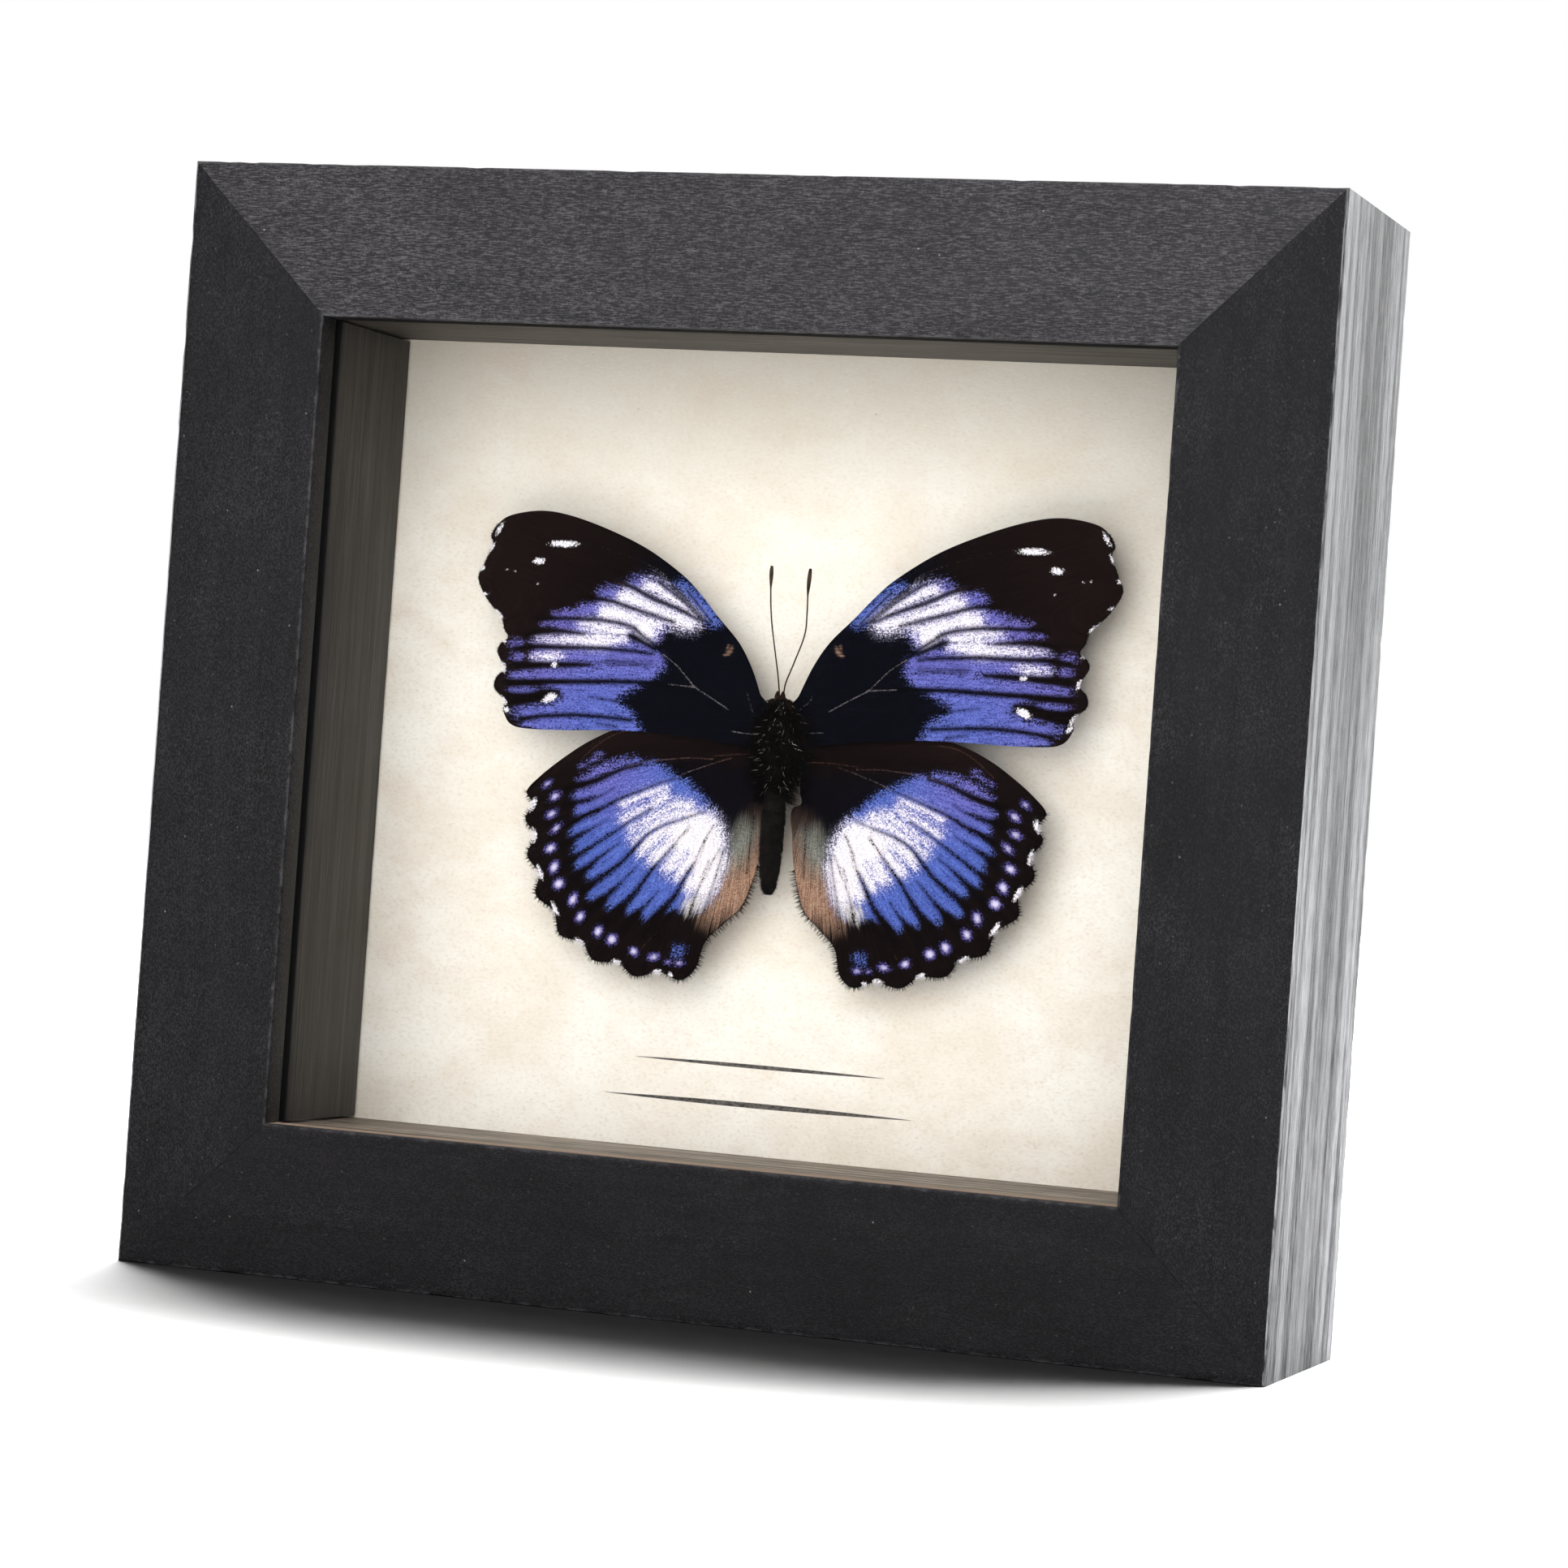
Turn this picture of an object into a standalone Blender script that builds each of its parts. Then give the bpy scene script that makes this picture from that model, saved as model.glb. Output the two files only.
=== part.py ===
"""Framed butterfly specimen: a black-stained shadow-box frame with one mounted butterfly.

Metres, +Z up. The frame stands on its bottom rail with the glass facing -Y. The origin is on
the floor below the middle of the frame. Depths are measured from the front face into the box.
"""
import math

import bmesh
import bpy
from mathutils import Matrix, Vector

MM = 0.001

# --- driving dimensions -------------------------------------------------------------------
FRAME_WIDTH = 150 * MM
FRAME_HEIGHT = 141 * MM
FRAME_DEPTH = 37 * MM
MOULDING_WIDTH = 19.3 * MM      # seen from the front
LIP_WIDTH = 5.0 * MM            # part of the moulding that laps over the glass
LIP_DEPTH = 4.3 * MM
GAP = 0.3 * MM                  # clearance between pieces that meet

GLASS_THICKNESS = 3.0 * MM
CARD_DEPTH = 30.0 * MM          # from the front face to the face of the card
CARD_THICKNESS = 1.5 * MM
BOARD_THICKNESS = 2.5 * MM
SPACER_REVEAL = 0.4 * MM        # how far the spacers stand back from the sight edge

POINT_THICKNESS = 0.5 * MM
POINT_WIDTH = 10.0 * MM
POINT_LENGTH = 11.0 * MM
POINT_DRIVEN = 4.0 * MM         # length driven into the moulding

HANGER_LENGTH = 42.0 * MM
HANGER_HEIGHT = 7.5 * MM
HANGER_THICKNESS = 0.8 * MM
HANGER_TEETH = 9
HANGER_END = 9.0 * MM           # plain end of the hanger, where its nail goes
HOUSING_DEPTH = 2.0 * MM        # housing for the hanger in the back of the top rail
HOUSING_DROP = 1.5 * MM         # from the top of the frame to the housing
POCKET_DEPTH = 5.0 * MM         # pocket for the head of a wall nail, behind and below the teeth
POCKET_DROP = 12.9 * MM         # from the top of the frame to the bottom of the pocket
NAIL_HEAD_RADIUS = 1.5 * MM
NAIL_HEAD_THICKNESS = 0.5 * MM
NAIL_SHANK_RADIUS = 0.6 * MM
NAIL_LENGTH = 8.0 * MM
NAIL_SPACING = 34.0 * MM

SPECIMEN_X = 2.0 * MM           # middle of the butterfly from the middle of the frame
SPECIMEN_Z = 0.6 * MM
FOREWING_DEPTH = 23.2 * MM      # front face of the forewings
HINDWING_DEPTH = 23.85 * MM     # front face of the hindwings, behind the forewings
WING_THICKNESS = 0.25 * MM
BODY_SIDES = 16
ANTENNA_RADIUS = 0.15 * MM
BLOCK_SIZE = 4.4 * MM
THORAX_CLEAR = 3.05             # wings start this far out, in millimetres, beside the thorax,
THORAX_LOW = -5.2               # which ends at this height

# --- butterfly outlines, in millimetres from the middle of the specimen --------------------
# First number: outwards from the body. Second: up. Both are drawn for the left-hand side.
FOREWING_OUTLINE = [
    (3.1, 5.4), (3.6, 7.2), (5.0, 10.4), (6.9, 13.35), (9.9, 16.4), (12.3, 19.0), (15.0, 21.4),
    (20.0, 24.5), (25.6, 26.8), (31.1, 28.4), (35.3, 28.85), (39.4, 28.1), (41.2, 26.9),
    (42.1, 25.3), (41.8, 24.3), (42.8, 21.6), (43.5, 19.8), (42.6, 17.8), (41.2, 16.1),
    (39.8, 14.7), (39.3, 13.2), (38.7, 12.2), (39.8, 11.2), (40.0, 10.1), (39.0, 8.2),
    (40.0, 6.9), (40.1, 5.5), (38.6, 4.0), (38.6, 2.5), (36.8, 0.7), (31.1, 0.6),
    (25.0, 0.95), (19.0, 1.1), (12.0, 0.8), (3.1, 0.5),
]
HINDWING_OUTLINE = [
    (3.1, 1.5), (8.0, 2.6), (16.0, 2.9), (22.0, 1.6), (26.5, -0.5), (30.0, -2.9), (33.0, -5.4),
    (34.8, -7.5), (33.9, -9.1), (34.7, -11.2), (33.3, -13.2), (34.1, -15.8), (32.3, -18.1),
    (32.5, -20.9), (29.8, -22.8), (28.8, -25.7), (25.6, -26.6), (23.8, -28.7), (20.4, -28.8),
    (18.0, -30.3), (14.7, -29.5), (11.8, -30.3), (9.8, -28.6), (8.8, -25.2), (6.4, -22.6),
    (3.9, -20.0), (2.3, -14.8), (1.6, -10.5), (1.2, -7.0), (3.1, -5.6),
]
LEFT_ANTENNA = [(-0.25, 6.95), (-0.7, 9.2), (-1.3, 12.0), (-2.2, 16.5), (-2.6, 20.3), (-2.7, 23.2)]
RIGHT_ANTENNA = [(0.25, 6.95), (0.35, 8.3), (1.2, 10.8), (2.4, 14.6), (2.5, 17.5), (2.4, 20.2),
                 (2.5, 23.1)]
# Height, half width, half depth and depth of the middle below the front face.
BODY_SECTIONS = [
    (6.6, 0.5, 0.5, 21.9), (6.2, 1.1, 1.1, 21.9), (5.5, 1.45, 1.35, 22.0), (4.8, 1.6, 1.25, 22.1),
    (4.2, 2.1, 1.4, 22.3), (3.3, 2.5, 1.9, 22.5), (1.6, 2.7, 2.4, 22.7), (-0.6, 2.75, 2.5, 22.7),
    (-3.0, 2.3, 2.1, 22.6), (-4.8, 1.5, 1.35, 22.1), (-6.4, 1.45, 1.35, 22.0),
    (-9.5, 1.55, 1.4, 22.0), (-12.5, 1.5, 1.35, 22.0), (-15.5, 1.3, 1.2, 22.0),
    (-17.6, 0.95, 0.9, 22.05), (-18.5, 0.5, 0.5, 22.1),
]
# How each right-hand wing sits compared with its mirrored left-hand twin: outward and upward
# stretch, the slopes between them, and the shift, as the setter left them.
FOREWING_RIGHT_SET = (1.026, 0.007, 0.049, 1.012, -1.7, 0.2)
HINDWING_RIGHT_SET = (0.995, 0.031, 0.067, 0.971, 0.7, -0.8)

# --- derived sizes --------------------------------------------------------------------------
SIGHT_X = FRAME_WIDTH / 2 - MOULDING_WIDTH
SIGHT_Z = FRAME_HEIGHT / 2 - MOULDING_WIDTH
REBATE_X = SIGHT_X + LIP_WIDTH
REBATE_Z = SIGHT_Z + LIP_WIDTH
GLASS_DEPTH = LIP_DEPTH + GAP
SPACER_DEPTH = GLASS_DEPTH + GLASS_THICKNESS + GAP
SPACER_LENGTH = CARD_DEPTH - GAP - SPACER_DEPTH
SPACER_THICKNESS = LIP_WIDTH - SPACER_REVEAL - GAP
BOARD_DEPTH = CARD_DEPTH + CARD_THICKNESS + GAP
POINT_DEPTH = BOARD_DEPTH + BOARD_THICKNESS + GAP
HANGER_DEPTH = FRAME_DEPTH - HOUSING_DEPTH + GAP
NAIL_HEAD_DEPTH = HANGER_DEPTH + HANGER_THICKNESS + GAP
HANGER_Z = FRAME_HEIGHT / 2 - HOUSING_DROP - GAP - HANGER_HEIGHT / 2


def place(x, z, depth):
    """A point from the middle of the frame and the depth behind its front face."""
    return Vector((x, depth - FRAME_DEPTH / 2, z + FRAME_HEIGHT / 2))


# --- materials ------------------------------------------------------------------------------
def make_material(name, color, roughness, metallic=0.0, transmission=0.0):
    material = bpy.data.materials.new(name)
    material.use_nodes = True
    shader = material.node_tree.nodes["Principled BSDF"]
    shader.inputs["Base Color"].default_value = (*color, 1.0)
    shader.inputs["Roughness"].default_value = roughness
    shader.inputs["Metallic"].default_value = metallic
    shader.inputs["Transmission Weight"].default_value = transmission
    material.diffuse_color = (*color, 1.0)
    return material


# --- mesh helpers ---------------------------------------------------------------------------
def finish(name, bm, material):
    """Turn a bmesh into a named, linked object whose faces all point outwards."""
    bmesh.ops.recalc_face_normals(bm, faces=bm.faces[:])
    mesh = bpy.data.meshes.new(name)
    bm.to_mesh(mesh)
    bm.free()
    mesh.materials.append(material)
    piece = bpy.data.objects.new(name, mesh)
    bpy.context.collection.objects.link(piece)
    return piece


def prism(name, points, travel, material):
    """A flat outline of points, extruded along travel."""
    bm = bmesh.new()
    face = bm.faces.new([bm.verts.new(point) for point in points])
    swept = bmesh.ops.extrude_face_region(bm, geom=[face])
    moved = [item for item in swept["geom"] if isinstance(item, bmesh.types.BMVert)]
    bmesh.ops.translate(bm, verts=moved, vec=travel)
    return finish(name, bm, material)


def block(name, x_range, z_range, depth, thickness, material):
    """A box between two x values and two z values, from a depth back by a thickness."""
    x0, x1 = x_range
    z0, z1 = z_range
    corners = [place(x0, z0, depth), place(x1, z0, depth), place(x1, z1, depth), place(x0, z1, depth)]
    return prism(name, corners, Vector((0, thickness, 0)), material)


def cylinder_along_depth(name, x, z, depth, length, radius, sides, material):
    bm = bmesh.new()
    turned = Matrix.Translation(place(x, z, depth + length / 2)) @ Matrix.Rotation(math.pi / 2, 4, "X")
    bmesh.ops.create_cone(bm, cap_ends=True, segments=sides, radius1=radius, radius2=radius,
                          depth=length, matrix=turned)
    return finish(name, bm, material)


def subtract(piece, cutter):
    """Cut one piece by another with a live Boolean, and leave the cutter as a wire guide."""
    cut = piece.modifiers.new("cut by " + cutter.name, "BOOLEAN")
    cut.operation = "DIFFERENCE"
    cut.object = cutter
    cutter.hide_render = True
    cutter.display_type = "WIRE"


def smooth_curve(points, steps, closed):
    """Points along a Catmull-Rom curve through the given 2D points."""
    count = len(points)
    spans = count if closed else count - 1
    curve = []
    for span in range(spans):
        if closed:
            p0, p1, p2, p3 = (Vector(points[(span + k) % count]) for k in (-1, 0, 1, 2))
        else:
            p0, p1, p2, p3 = (Vector(points[min(max(span + k, 0), count - 1)]) for k in (-1, 0, 1, 2))
        for step in range(steps):
            t = step / steps
            curve.append(0.5 * (2 * p1 + (p2 - p0) * t + (2 * p0 - 5 * p1 + 4 * p2 - p3) * t ** 2
                                + (3 * p1 - p0 - 3 * p2 + p3) * t ** 3))
    if not closed:
        curve.append(Vector(points[-1]))
    return curve


# --- frame ----------------------------------------------------------------------------------
def build_rail(name, side, wood):
    """One mitred length of moulding: the rebated profile, swept and cut at 45 degrees.

    The rail is drawn as the bottom one, with its outer face down, and turned to its side.
    """
    across_half, up_half = (FRAME_WIDTH / 2, FRAME_HEIGHT / 2)
    if side in ("left", "right"):
        across_half, up_half = up_half, across_half
    wall = MOULDING_WIDTH - LIP_WIDTH
    profile = [(0, 0), (MOULDING_WIDTH, 0), (MOULDING_WIDTH, LIP_DEPTH), (wall, LIP_DEPTH),
               (wall, FRAME_DEPTH), (0, FRAME_DEPTH)]
    bm = bmesh.new()
    ring = [bm.verts.new((-across_half, depth, across - up_half)) for across, depth in profile]
    swept = bmesh.ops.extrude_face_region(bm, geom=[bm.faces.new(ring)])
    moved = [item for item in swept["geom"] if isinstance(item, bmesh.types.BMVert)]
    bmesh.ops.translate(bm, verts=moved, vec=(2 * across_half, 0, 0))
    for end in (-1, 1):
        mitre = Vector((end, 0, 1)).normalized()
        corner = Vector((end * across_half, 0, -up_half)) - mitre * GAP / 2
        everything = bm.verts[:] + bm.edges[:] + bm.faces[:]
        cut = bmesh.ops.bisect_plane(bm, geom=everything, plane_co=corner, plane_no=mitre,
                                     clear_outer=True)
        edges = [item for item in cut["geom_cut"] if isinstance(item, bmesh.types.BMEdge)]
        bmesh.ops.holes_fill(bm, edges=edges)
    angle = {"bottom": 0, "right": -90, "top": 180, "left": 90}[side]
    bm.transform(Matrix.Translation(place(0, 0, 0)) @ Matrix.Rotation(math.radians(angle), 4, "Y"))
    return finish(name, bm, wood)


def build_frame(wood):
    return {
        "top": build_rail("frame_top_rail", "top", wood("stained_top_rail")),
        "bottom": build_rail("frame_bottom_rail", "bottom", wood("stained_bottom_rail")),
        "left": build_rail("frame_left_stile", "left", wood("stained_left_stile")),
        "right": build_rail("frame_right_stile", "right", wood("stained_right_stile")),
    }


def build_spacers():
    """Four strips that hold the card away from the glass; the side strips fit between the others."""
    x_inner = SIGHT_X + SPACER_REVEAL
    z_inner = SIGHT_Z + SPACER_REVEAL
    x_outer = x_inner + SPACER_THICKNESS
    z_outer = z_inner + SPACER_THICKNESS
    spans = {
        "top": ((-x_outer, x_outer), (z_inner, z_outer)),
        "bottom": ((-x_outer, x_outer), (-z_outer, -z_inner)),
        "left": ((-x_outer, -x_inner), (GAP - z_inner, z_inner - GAP)),
        "right": ((x_inner, x_outer), (GAP - z_inner, z_inner - GAP)),
    }
    for side, (x_range, z_range) in spans.items():
        stain = make_material("stained_spacer_" + side, (0.055, 0.048, 0.042), 0.6)
        block("spacer_" + side, x_range, z_range, SPACER_DEPTH, SPACER_LENGTH, stain)


def build_panels():
    glass = make_material("clear_glass", (1.0, 1.0, 1.0), 0.02, transmission=1.0)
    glass_x = REBATE_X - 2 * GAP
    glass_z = REBATE_Z - 2 * GAP
    block("glass_pane", (-glass_x, glass_x), (-glass_z, glass_z), GLASS_DEPTH, GLASS_THICKNESS, glass)
    card = make_material("cream_card", (0.86, 0.82, 0.72), 0.9)
    board = make_material("brown_board", (0.32, 0.22, 0.13), 0.85)
    panel_x = REBATE_X - GAP
    panel_z = REBATE_Z - GAP
    block("mount_card", (-panel_x, panel_x), (-panel_z, panel_z), CARD_DEPTH, CARD_THICKNESS, card)
    block("back_board", (-panel_x, panel_x), (-panel_z, panel_z), BOARD_DEPTH, BOARD_THICKNESS, board)


def build_points(rails):
    """A steel point in the middle of each side, driven into the wall of the rebate."""
    slots = {"top": (0, REBATE_Z, 0), "right": (REBATE_X, 0, -90), "bottom": (0, -REBATE_Z, 180),
             "left": (-REBATE_X, 0, 90)}
    half = POINT_WIDTH / 2
    tail = POINT_DRIVEN - POINT_LENGTH
    shoulder = POINT_DRIVEN - half
    outline = [(-half, tail), (half, tail), (half, shoulder), (0, POINT_DRIVEN), (-half, shoulder)]
    room = half + GAP
    slot_outline = [(-room, -GAP), (room, -GAP), (room, POINT_DRIVEN + GAP), (-room, POINT_DRIVEN + GAP)]
    slot_depth = POINT_THICKNESS + 2 * GAP
    for side, (x, z, angle) in slots.items():
        turn = Matrix.Rotation(math.radians(angle), 2)
        steel = make_material("point_steel_" + side, (0.5, 0.5, 0.5), 0.4, 1.0)
        corners = [turn @ Vector(corner) for corner in outline]
        placed = [place(x + corner.x, z + corner.y, POINT_DEPTH) for corner in corners]
        prism("framers_point_" + side, placed, Vector((0, POINT_THICKNESS, 0)), steel)
        corners = [turn @ Vector(corner) for corner in slot_outline]
        placed = [place(x + corner.x, z + corner.y, POINT_DEPTH - GAP) for corner in corners]
        slot = prism("slot_" + side, placed, Vector((0, slot_depth, 0)), steel)
        subtract(rails[side], slot)


def build_hanger(top_rail):
    """A sawtooth hanger in a housing, with a deeper pocket behind its teeth for a wall nail."""
    steel = make_material("hanger_steel", (0.55, 0.55, 0.56), 0.35, 1.0)
    half_length = HANGER_LENGTH / 2
    half_height = HANGER_HEIGHT / 2
    room_x = half_length + GAP
    room_z = half_height + GAP
    proud = 1.0 * MM            # how far a cutter stands out of what it cuts
    housing = block("housing", (-room_x, room_x), (HANGER_Z - room_z, HANGER_Z + room_z),
                    FRAME_DEPTH - HOUSING_DEPTH, HOUSING_DEPTH + proud, steel)
    subtract(top_rail, housing)
    pocket_half = half_length - HANGER_END
    pocket = block("pocket", (-pocket_half, pocket_half), (FRAME_HEIGHT / 2 - POCKET_DROP, HANGER_Z),
                   FRAME_DEPTH - POCKET_DEPTH, POCKET_DEPTH + proud, steel)
    subtract(top_rail, pocket)

    tooth = 2 * pocket_half / HANGER_TEETH
    tooth_height = 1.6 * MM
    lower = HANGER_Z - half_height
    outline = [(-half_length, lower)]
    for index in range(HANGER_TEETH):
        left = -pocket_half + index * tooth
        outline += [(left, lower), (left + tooth / 2, lower + tooth_height)]
    outline += [(pocket_half, lower), (half_length, lower), (half_length, HANGER_Z + half_height),
                (-half_length, HANGER_Z + half_height)]
    corners = [place(x, z, HANGER_DEPTH) for x, z in outline]
    hanger = prism("sawtooth_hanger", corners, Vector((0, HANGER_THICKNESS, 0)), steel)

    for side, x in (("left", -NAIL_SPACING / 2), ("right", NAIL_SPACING / 2)):
        room = NAIL_SHANK_RADIUS + GAP
        plate_hole = cylinder_along_depth("plate_hole_" + side, x, HANGER_Z, HANGER_DEPTH - proud,
                                          HANGER_THICKNESS + 2 * proud, room, 12, steel)
        subtract(hanger, plate_hole)
        wood_hole = cylinder_along_depth("wood_hole_" + side, x, HANGER_Z,
                                         NAIL_HEAD_DEPTH - NAIL_LENGTH - GAP,
                                         NAIL_LENGTH + GAP, room, 12, steel)
        subtract(top_rail, wood_hole)
        build_nail("hanger_nail_" + side, x)


def build_nail(name, x):
    """A round-headed nail, drawn as a turned profile with its axis along the depth."""
    steel = make_material(name + "_steel", (0.6, 0.6, 0.6), 0.3, 1.0)
    tip = NAIL_HEAD_DEPTH - NAIL_LENGTH
    back = NAIL_HEAD_DEPTH + NAIL_HEAD_THICKNESS
    taper = 1.2 * MM
    crown = 0.2 * MM
    stations = [(tip, 0.1 * MM), (tip + taper, NAIL_SHANK_RADIUS), (NAIL_HEAD_DEPTH, NAIL_SHANK_RADIUS),
                (NAIL_HEAD_DEPTH, NAIL_HEAD_RADIUS), (back - crown, NAIL_HEAD_RADIUS),
                (back, NAIL_HEAD_RADIUS - 2 * crown)]
    sections = [[place(x + radius * math.cos(turn), HANGER_Z + radius * math.sin(turn), depth)
                 for turn in (math.tau * side / 12 for side in range(12))]
                for depth, radius in stations]
    loft(name, sections, steel)


def loft(name, sections, material):
    """Rings of points joined in order and closed at both ends."""
    bm = bmesh.new()
    rings = [[bm.verts.new(point) for point in section] for section in sections]
    for lower, upper in zip(rings, rings[1:]):
        for index, vert in enumerate(lower):
            after = (index + 1) % len(lower)
            bm.faces.new((vert, lower[after], upper[after], upper[index]))
    bm.faces.new(rings[0])
    bm.faces.new(rings[-1])
    piece = finish(name, bm, material)
    piece.data.shade_smooth()
    return piece


# --- butterfly ------------------------------------------------------------------------------
def specimen(outward, up, depth):
    """A point of the butterfly, in millimetres from its middle, at a depth in metres."""
    return place(SPECIMEN_X + outward * MM, SPECIMEN_Z + up * MM, depth)


def build_wing(name, outline, side, setting, depth, color):
    """A thin plate of the wing's outline; the right-hand one is set a little differently."""
    scales = make_material("scales_" + name, color, 0.6)
    stretch_x, lean_x, lean_z, stretch_z, shift_x, shift_z = setting
    mirror = -1 if side == "left" else 1
    placed = []
    for point in smooth_curve(outline, 2, closed=True):
        outward, up = point
        if side == "right":
            outward = stretch_x * point.x + lean_x * point.y + shift_x
            up = lean_z * point.x + stretch_z * point.y + shift_z
        if up > THORAX_LOW:
            outward = max(outward, THORAX_CLEAR)
        placed.append(specimen(mirror * outward, up, depth))
    return prism(name, placed, Vector((0, WING_THICKNESS, 0)), scales)


def build_body():
    chitin = make_material("body_chitin", (0.012, 0.010, 0.010), 0.7)
    turns = [math.tau * side / BODY_SIDES for side in range(BODY_SIDES)]
    sections = [[specimen(half_width * math.cos(turn), up, (middle + half_depth * math.sin(turn)) * MM)
                 for turn in turns]
                for up, half_width, half_depth, middle in BODY_SECTIONS]
    loft("butterfly_body", sections, chitin)


def build_antenna(name, route):
    """A thin stalk that swells into a club over its last sixth."""
    horn = make_material("horn_" + name, (0.03, 0.022, 0.018), 0.55)
    points = smooth_curve(route, 4, closed=False)
    curve = bpy.data.curves.new(name, "CURVE")
    curve.dimensions = "3D"
    curve.bevel_depth = ANTENNA_RADIUS
    curve.bevel_resolution = 2
    curve.use_fill_caps = True
    spline = curve.splines.new("POLY")
    spline.points.add(len(points) - 1)
    club_start, club_end = (0.82, 1.0)
    for index, (point, knot) in enumerate(zip(spline.points, points)):
        along = index / (len(points) - 1)
        point.co = (*specimen(knot.x, knot.y, (21.9 + 0.4 * along) * MM), 1)
        swell = min(max((along - club_start) / (club_end - club_start), 0.0), 1.0)
        point.radius = 1.0 + 0.8 * math.sin(math.pi * min(swell * 0.85, 1.0))
    curve.materials.append(horn)
    antenna = bpy.data.objects.new(name, curve)
    bpy.context.collection.objects.link(antenna)


def build_butterfly():
    dark_blue = (0.03, 0.035, 0.16)
    bright_blue = (0.10, 0.13, 0.50)
    for side in ("left", "right"):
        build_wing("forewing_" + side, FOREWING_OUTLINE, side, FOREWING_RIGHT_SET, FOREWING_DEPTH,
                   dark_blue)
        build_wing("hindwing_" + side, HINDWING_OUTLINE, side, HINDWING_RIGHT_SET, HINDWING_DEPTH,
                   bright_blue)
    build_body()
    build_antenna("antenna_left", LEFT_ANTENNA)
    build_antenna("antenna_right", RIGHT_ANTENNA)
    foam = make_material("mounting_foam", (0.75, 0.74, 0.70), 0.95)
    thorax_back = 25.2 * MM + GAP
    half = BLOCK_SIZE / 2
    block("mounting_block", (SPECIMEN_X - half, SPECIMEN_X + half), (SPECIMEN_Z - half, SPECIMEN_Z + half),
          thorax_back, CARD_DEPTH - GAP - thorax_back, foam)


def main():
    for old in list(bpy.data.objects):
        bpy.data.objects.remove(old, do_unlink=True)

    def stained_wood(name):
        return make_material(name, (0.035, 0.034, 0.036), 0.5)

    rails = build_frame(stained_wood)
    build_panels()
    build_spacers()
    build_points(rails)
    build_hanger(rails["top"])
    build_butterfly()


main()
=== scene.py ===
"""Looks for the framed butterfly specimen: stained wood, glass, mottled card and the insect."""
import math
import random

import bmesh
import bpy
import numpy as np
from mathutils import Matrix, Vector, geometry, noise


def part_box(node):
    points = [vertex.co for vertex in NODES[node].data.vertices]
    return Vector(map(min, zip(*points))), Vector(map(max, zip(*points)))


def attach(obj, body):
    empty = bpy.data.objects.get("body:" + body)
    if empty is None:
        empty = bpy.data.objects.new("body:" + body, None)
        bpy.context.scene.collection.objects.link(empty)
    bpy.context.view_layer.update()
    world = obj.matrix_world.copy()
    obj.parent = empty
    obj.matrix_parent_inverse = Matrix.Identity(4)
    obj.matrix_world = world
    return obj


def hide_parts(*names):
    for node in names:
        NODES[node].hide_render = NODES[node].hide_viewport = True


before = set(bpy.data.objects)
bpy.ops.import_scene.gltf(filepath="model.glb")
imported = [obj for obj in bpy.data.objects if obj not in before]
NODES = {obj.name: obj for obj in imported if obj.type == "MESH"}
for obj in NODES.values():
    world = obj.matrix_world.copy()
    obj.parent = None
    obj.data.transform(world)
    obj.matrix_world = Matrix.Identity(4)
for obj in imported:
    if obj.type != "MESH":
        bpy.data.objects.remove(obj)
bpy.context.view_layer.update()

MM = 0.001
BOTTOM_LOW, BOTTOM_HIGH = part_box("frame_bottom_rail")
FRAME_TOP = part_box("frame_top_rail")[1].z
HALF_WIDTH, HALF_DEPTH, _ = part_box("frame_right_stile")[1]
HALF_HEIGHT = (FRAME_TOP - BOTTOM_LOW.z) / 2
MIDDLE_Z = (FRAME_TOP + BOTTOM_LOW.z) / 2
MOULDING = BOTTOM_HIGH.z - BOTTOM_LOW.z
SIGHT_X = HALF_WIDTH - MOULDING
SIGHT_Z = HALF_HEIGHT - MOULDING
LIP_WIDTH = 5.0 * MM
LIP_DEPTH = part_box("glass_pane")[0].y + HALF_DEPTH - 0.3 * MM
BLOCK_LOW, BLOCK_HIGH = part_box("mounting_block")
SPECIMEN_X = (BLOCK_LOW.x + BLOCK_HIGH.x) / 2
SPECIMEN_Z = (BLOCK_LOW.z + BLOCK_HIGH.z) / 2
SPACER_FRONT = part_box("spacer_left")[0].y
FOREWING_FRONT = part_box("forewing_left")[0].y
HINDWING_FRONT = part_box("hindwing_left")[0].y


# --- wing drawing, in millimetres out from the body and up, for either side -------------------
FOREWING_OUTLINE = [
    (3.1, 5.4), (3.6, 7.2), (5.0, 10.4), (6.9, 13.35), (9.9, 16.4), (12.3, 19.0), (15.0, 21.4),
    (20.0, 24.5), (25.6, 26.8), (31.1, 28.4), (35.3, 28.85), (39.4, 28.1), (41.2, 26.9),
    (42.1, 25.3), (41.8, 24.3), (42.8, 21.6), (43.5, 19.8), (42.6, 17.8), (41.2, 16.1),
    (39.8, 14.7), (39.3, 13.2), (38.7, 12.2), (39.8, 11.2), (40.0, 10.1), (39.0, 8.2),
    (40.0, 6.9), (40.1, 5.5), (38.6, 4.0), (38.6, 2.5), (36.8, 0.7), (31.1, 0.6), (25.0, 0.95),
    (19.0, 1.1), (12.0, 0.8), (3.1, 0.5),
]
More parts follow.
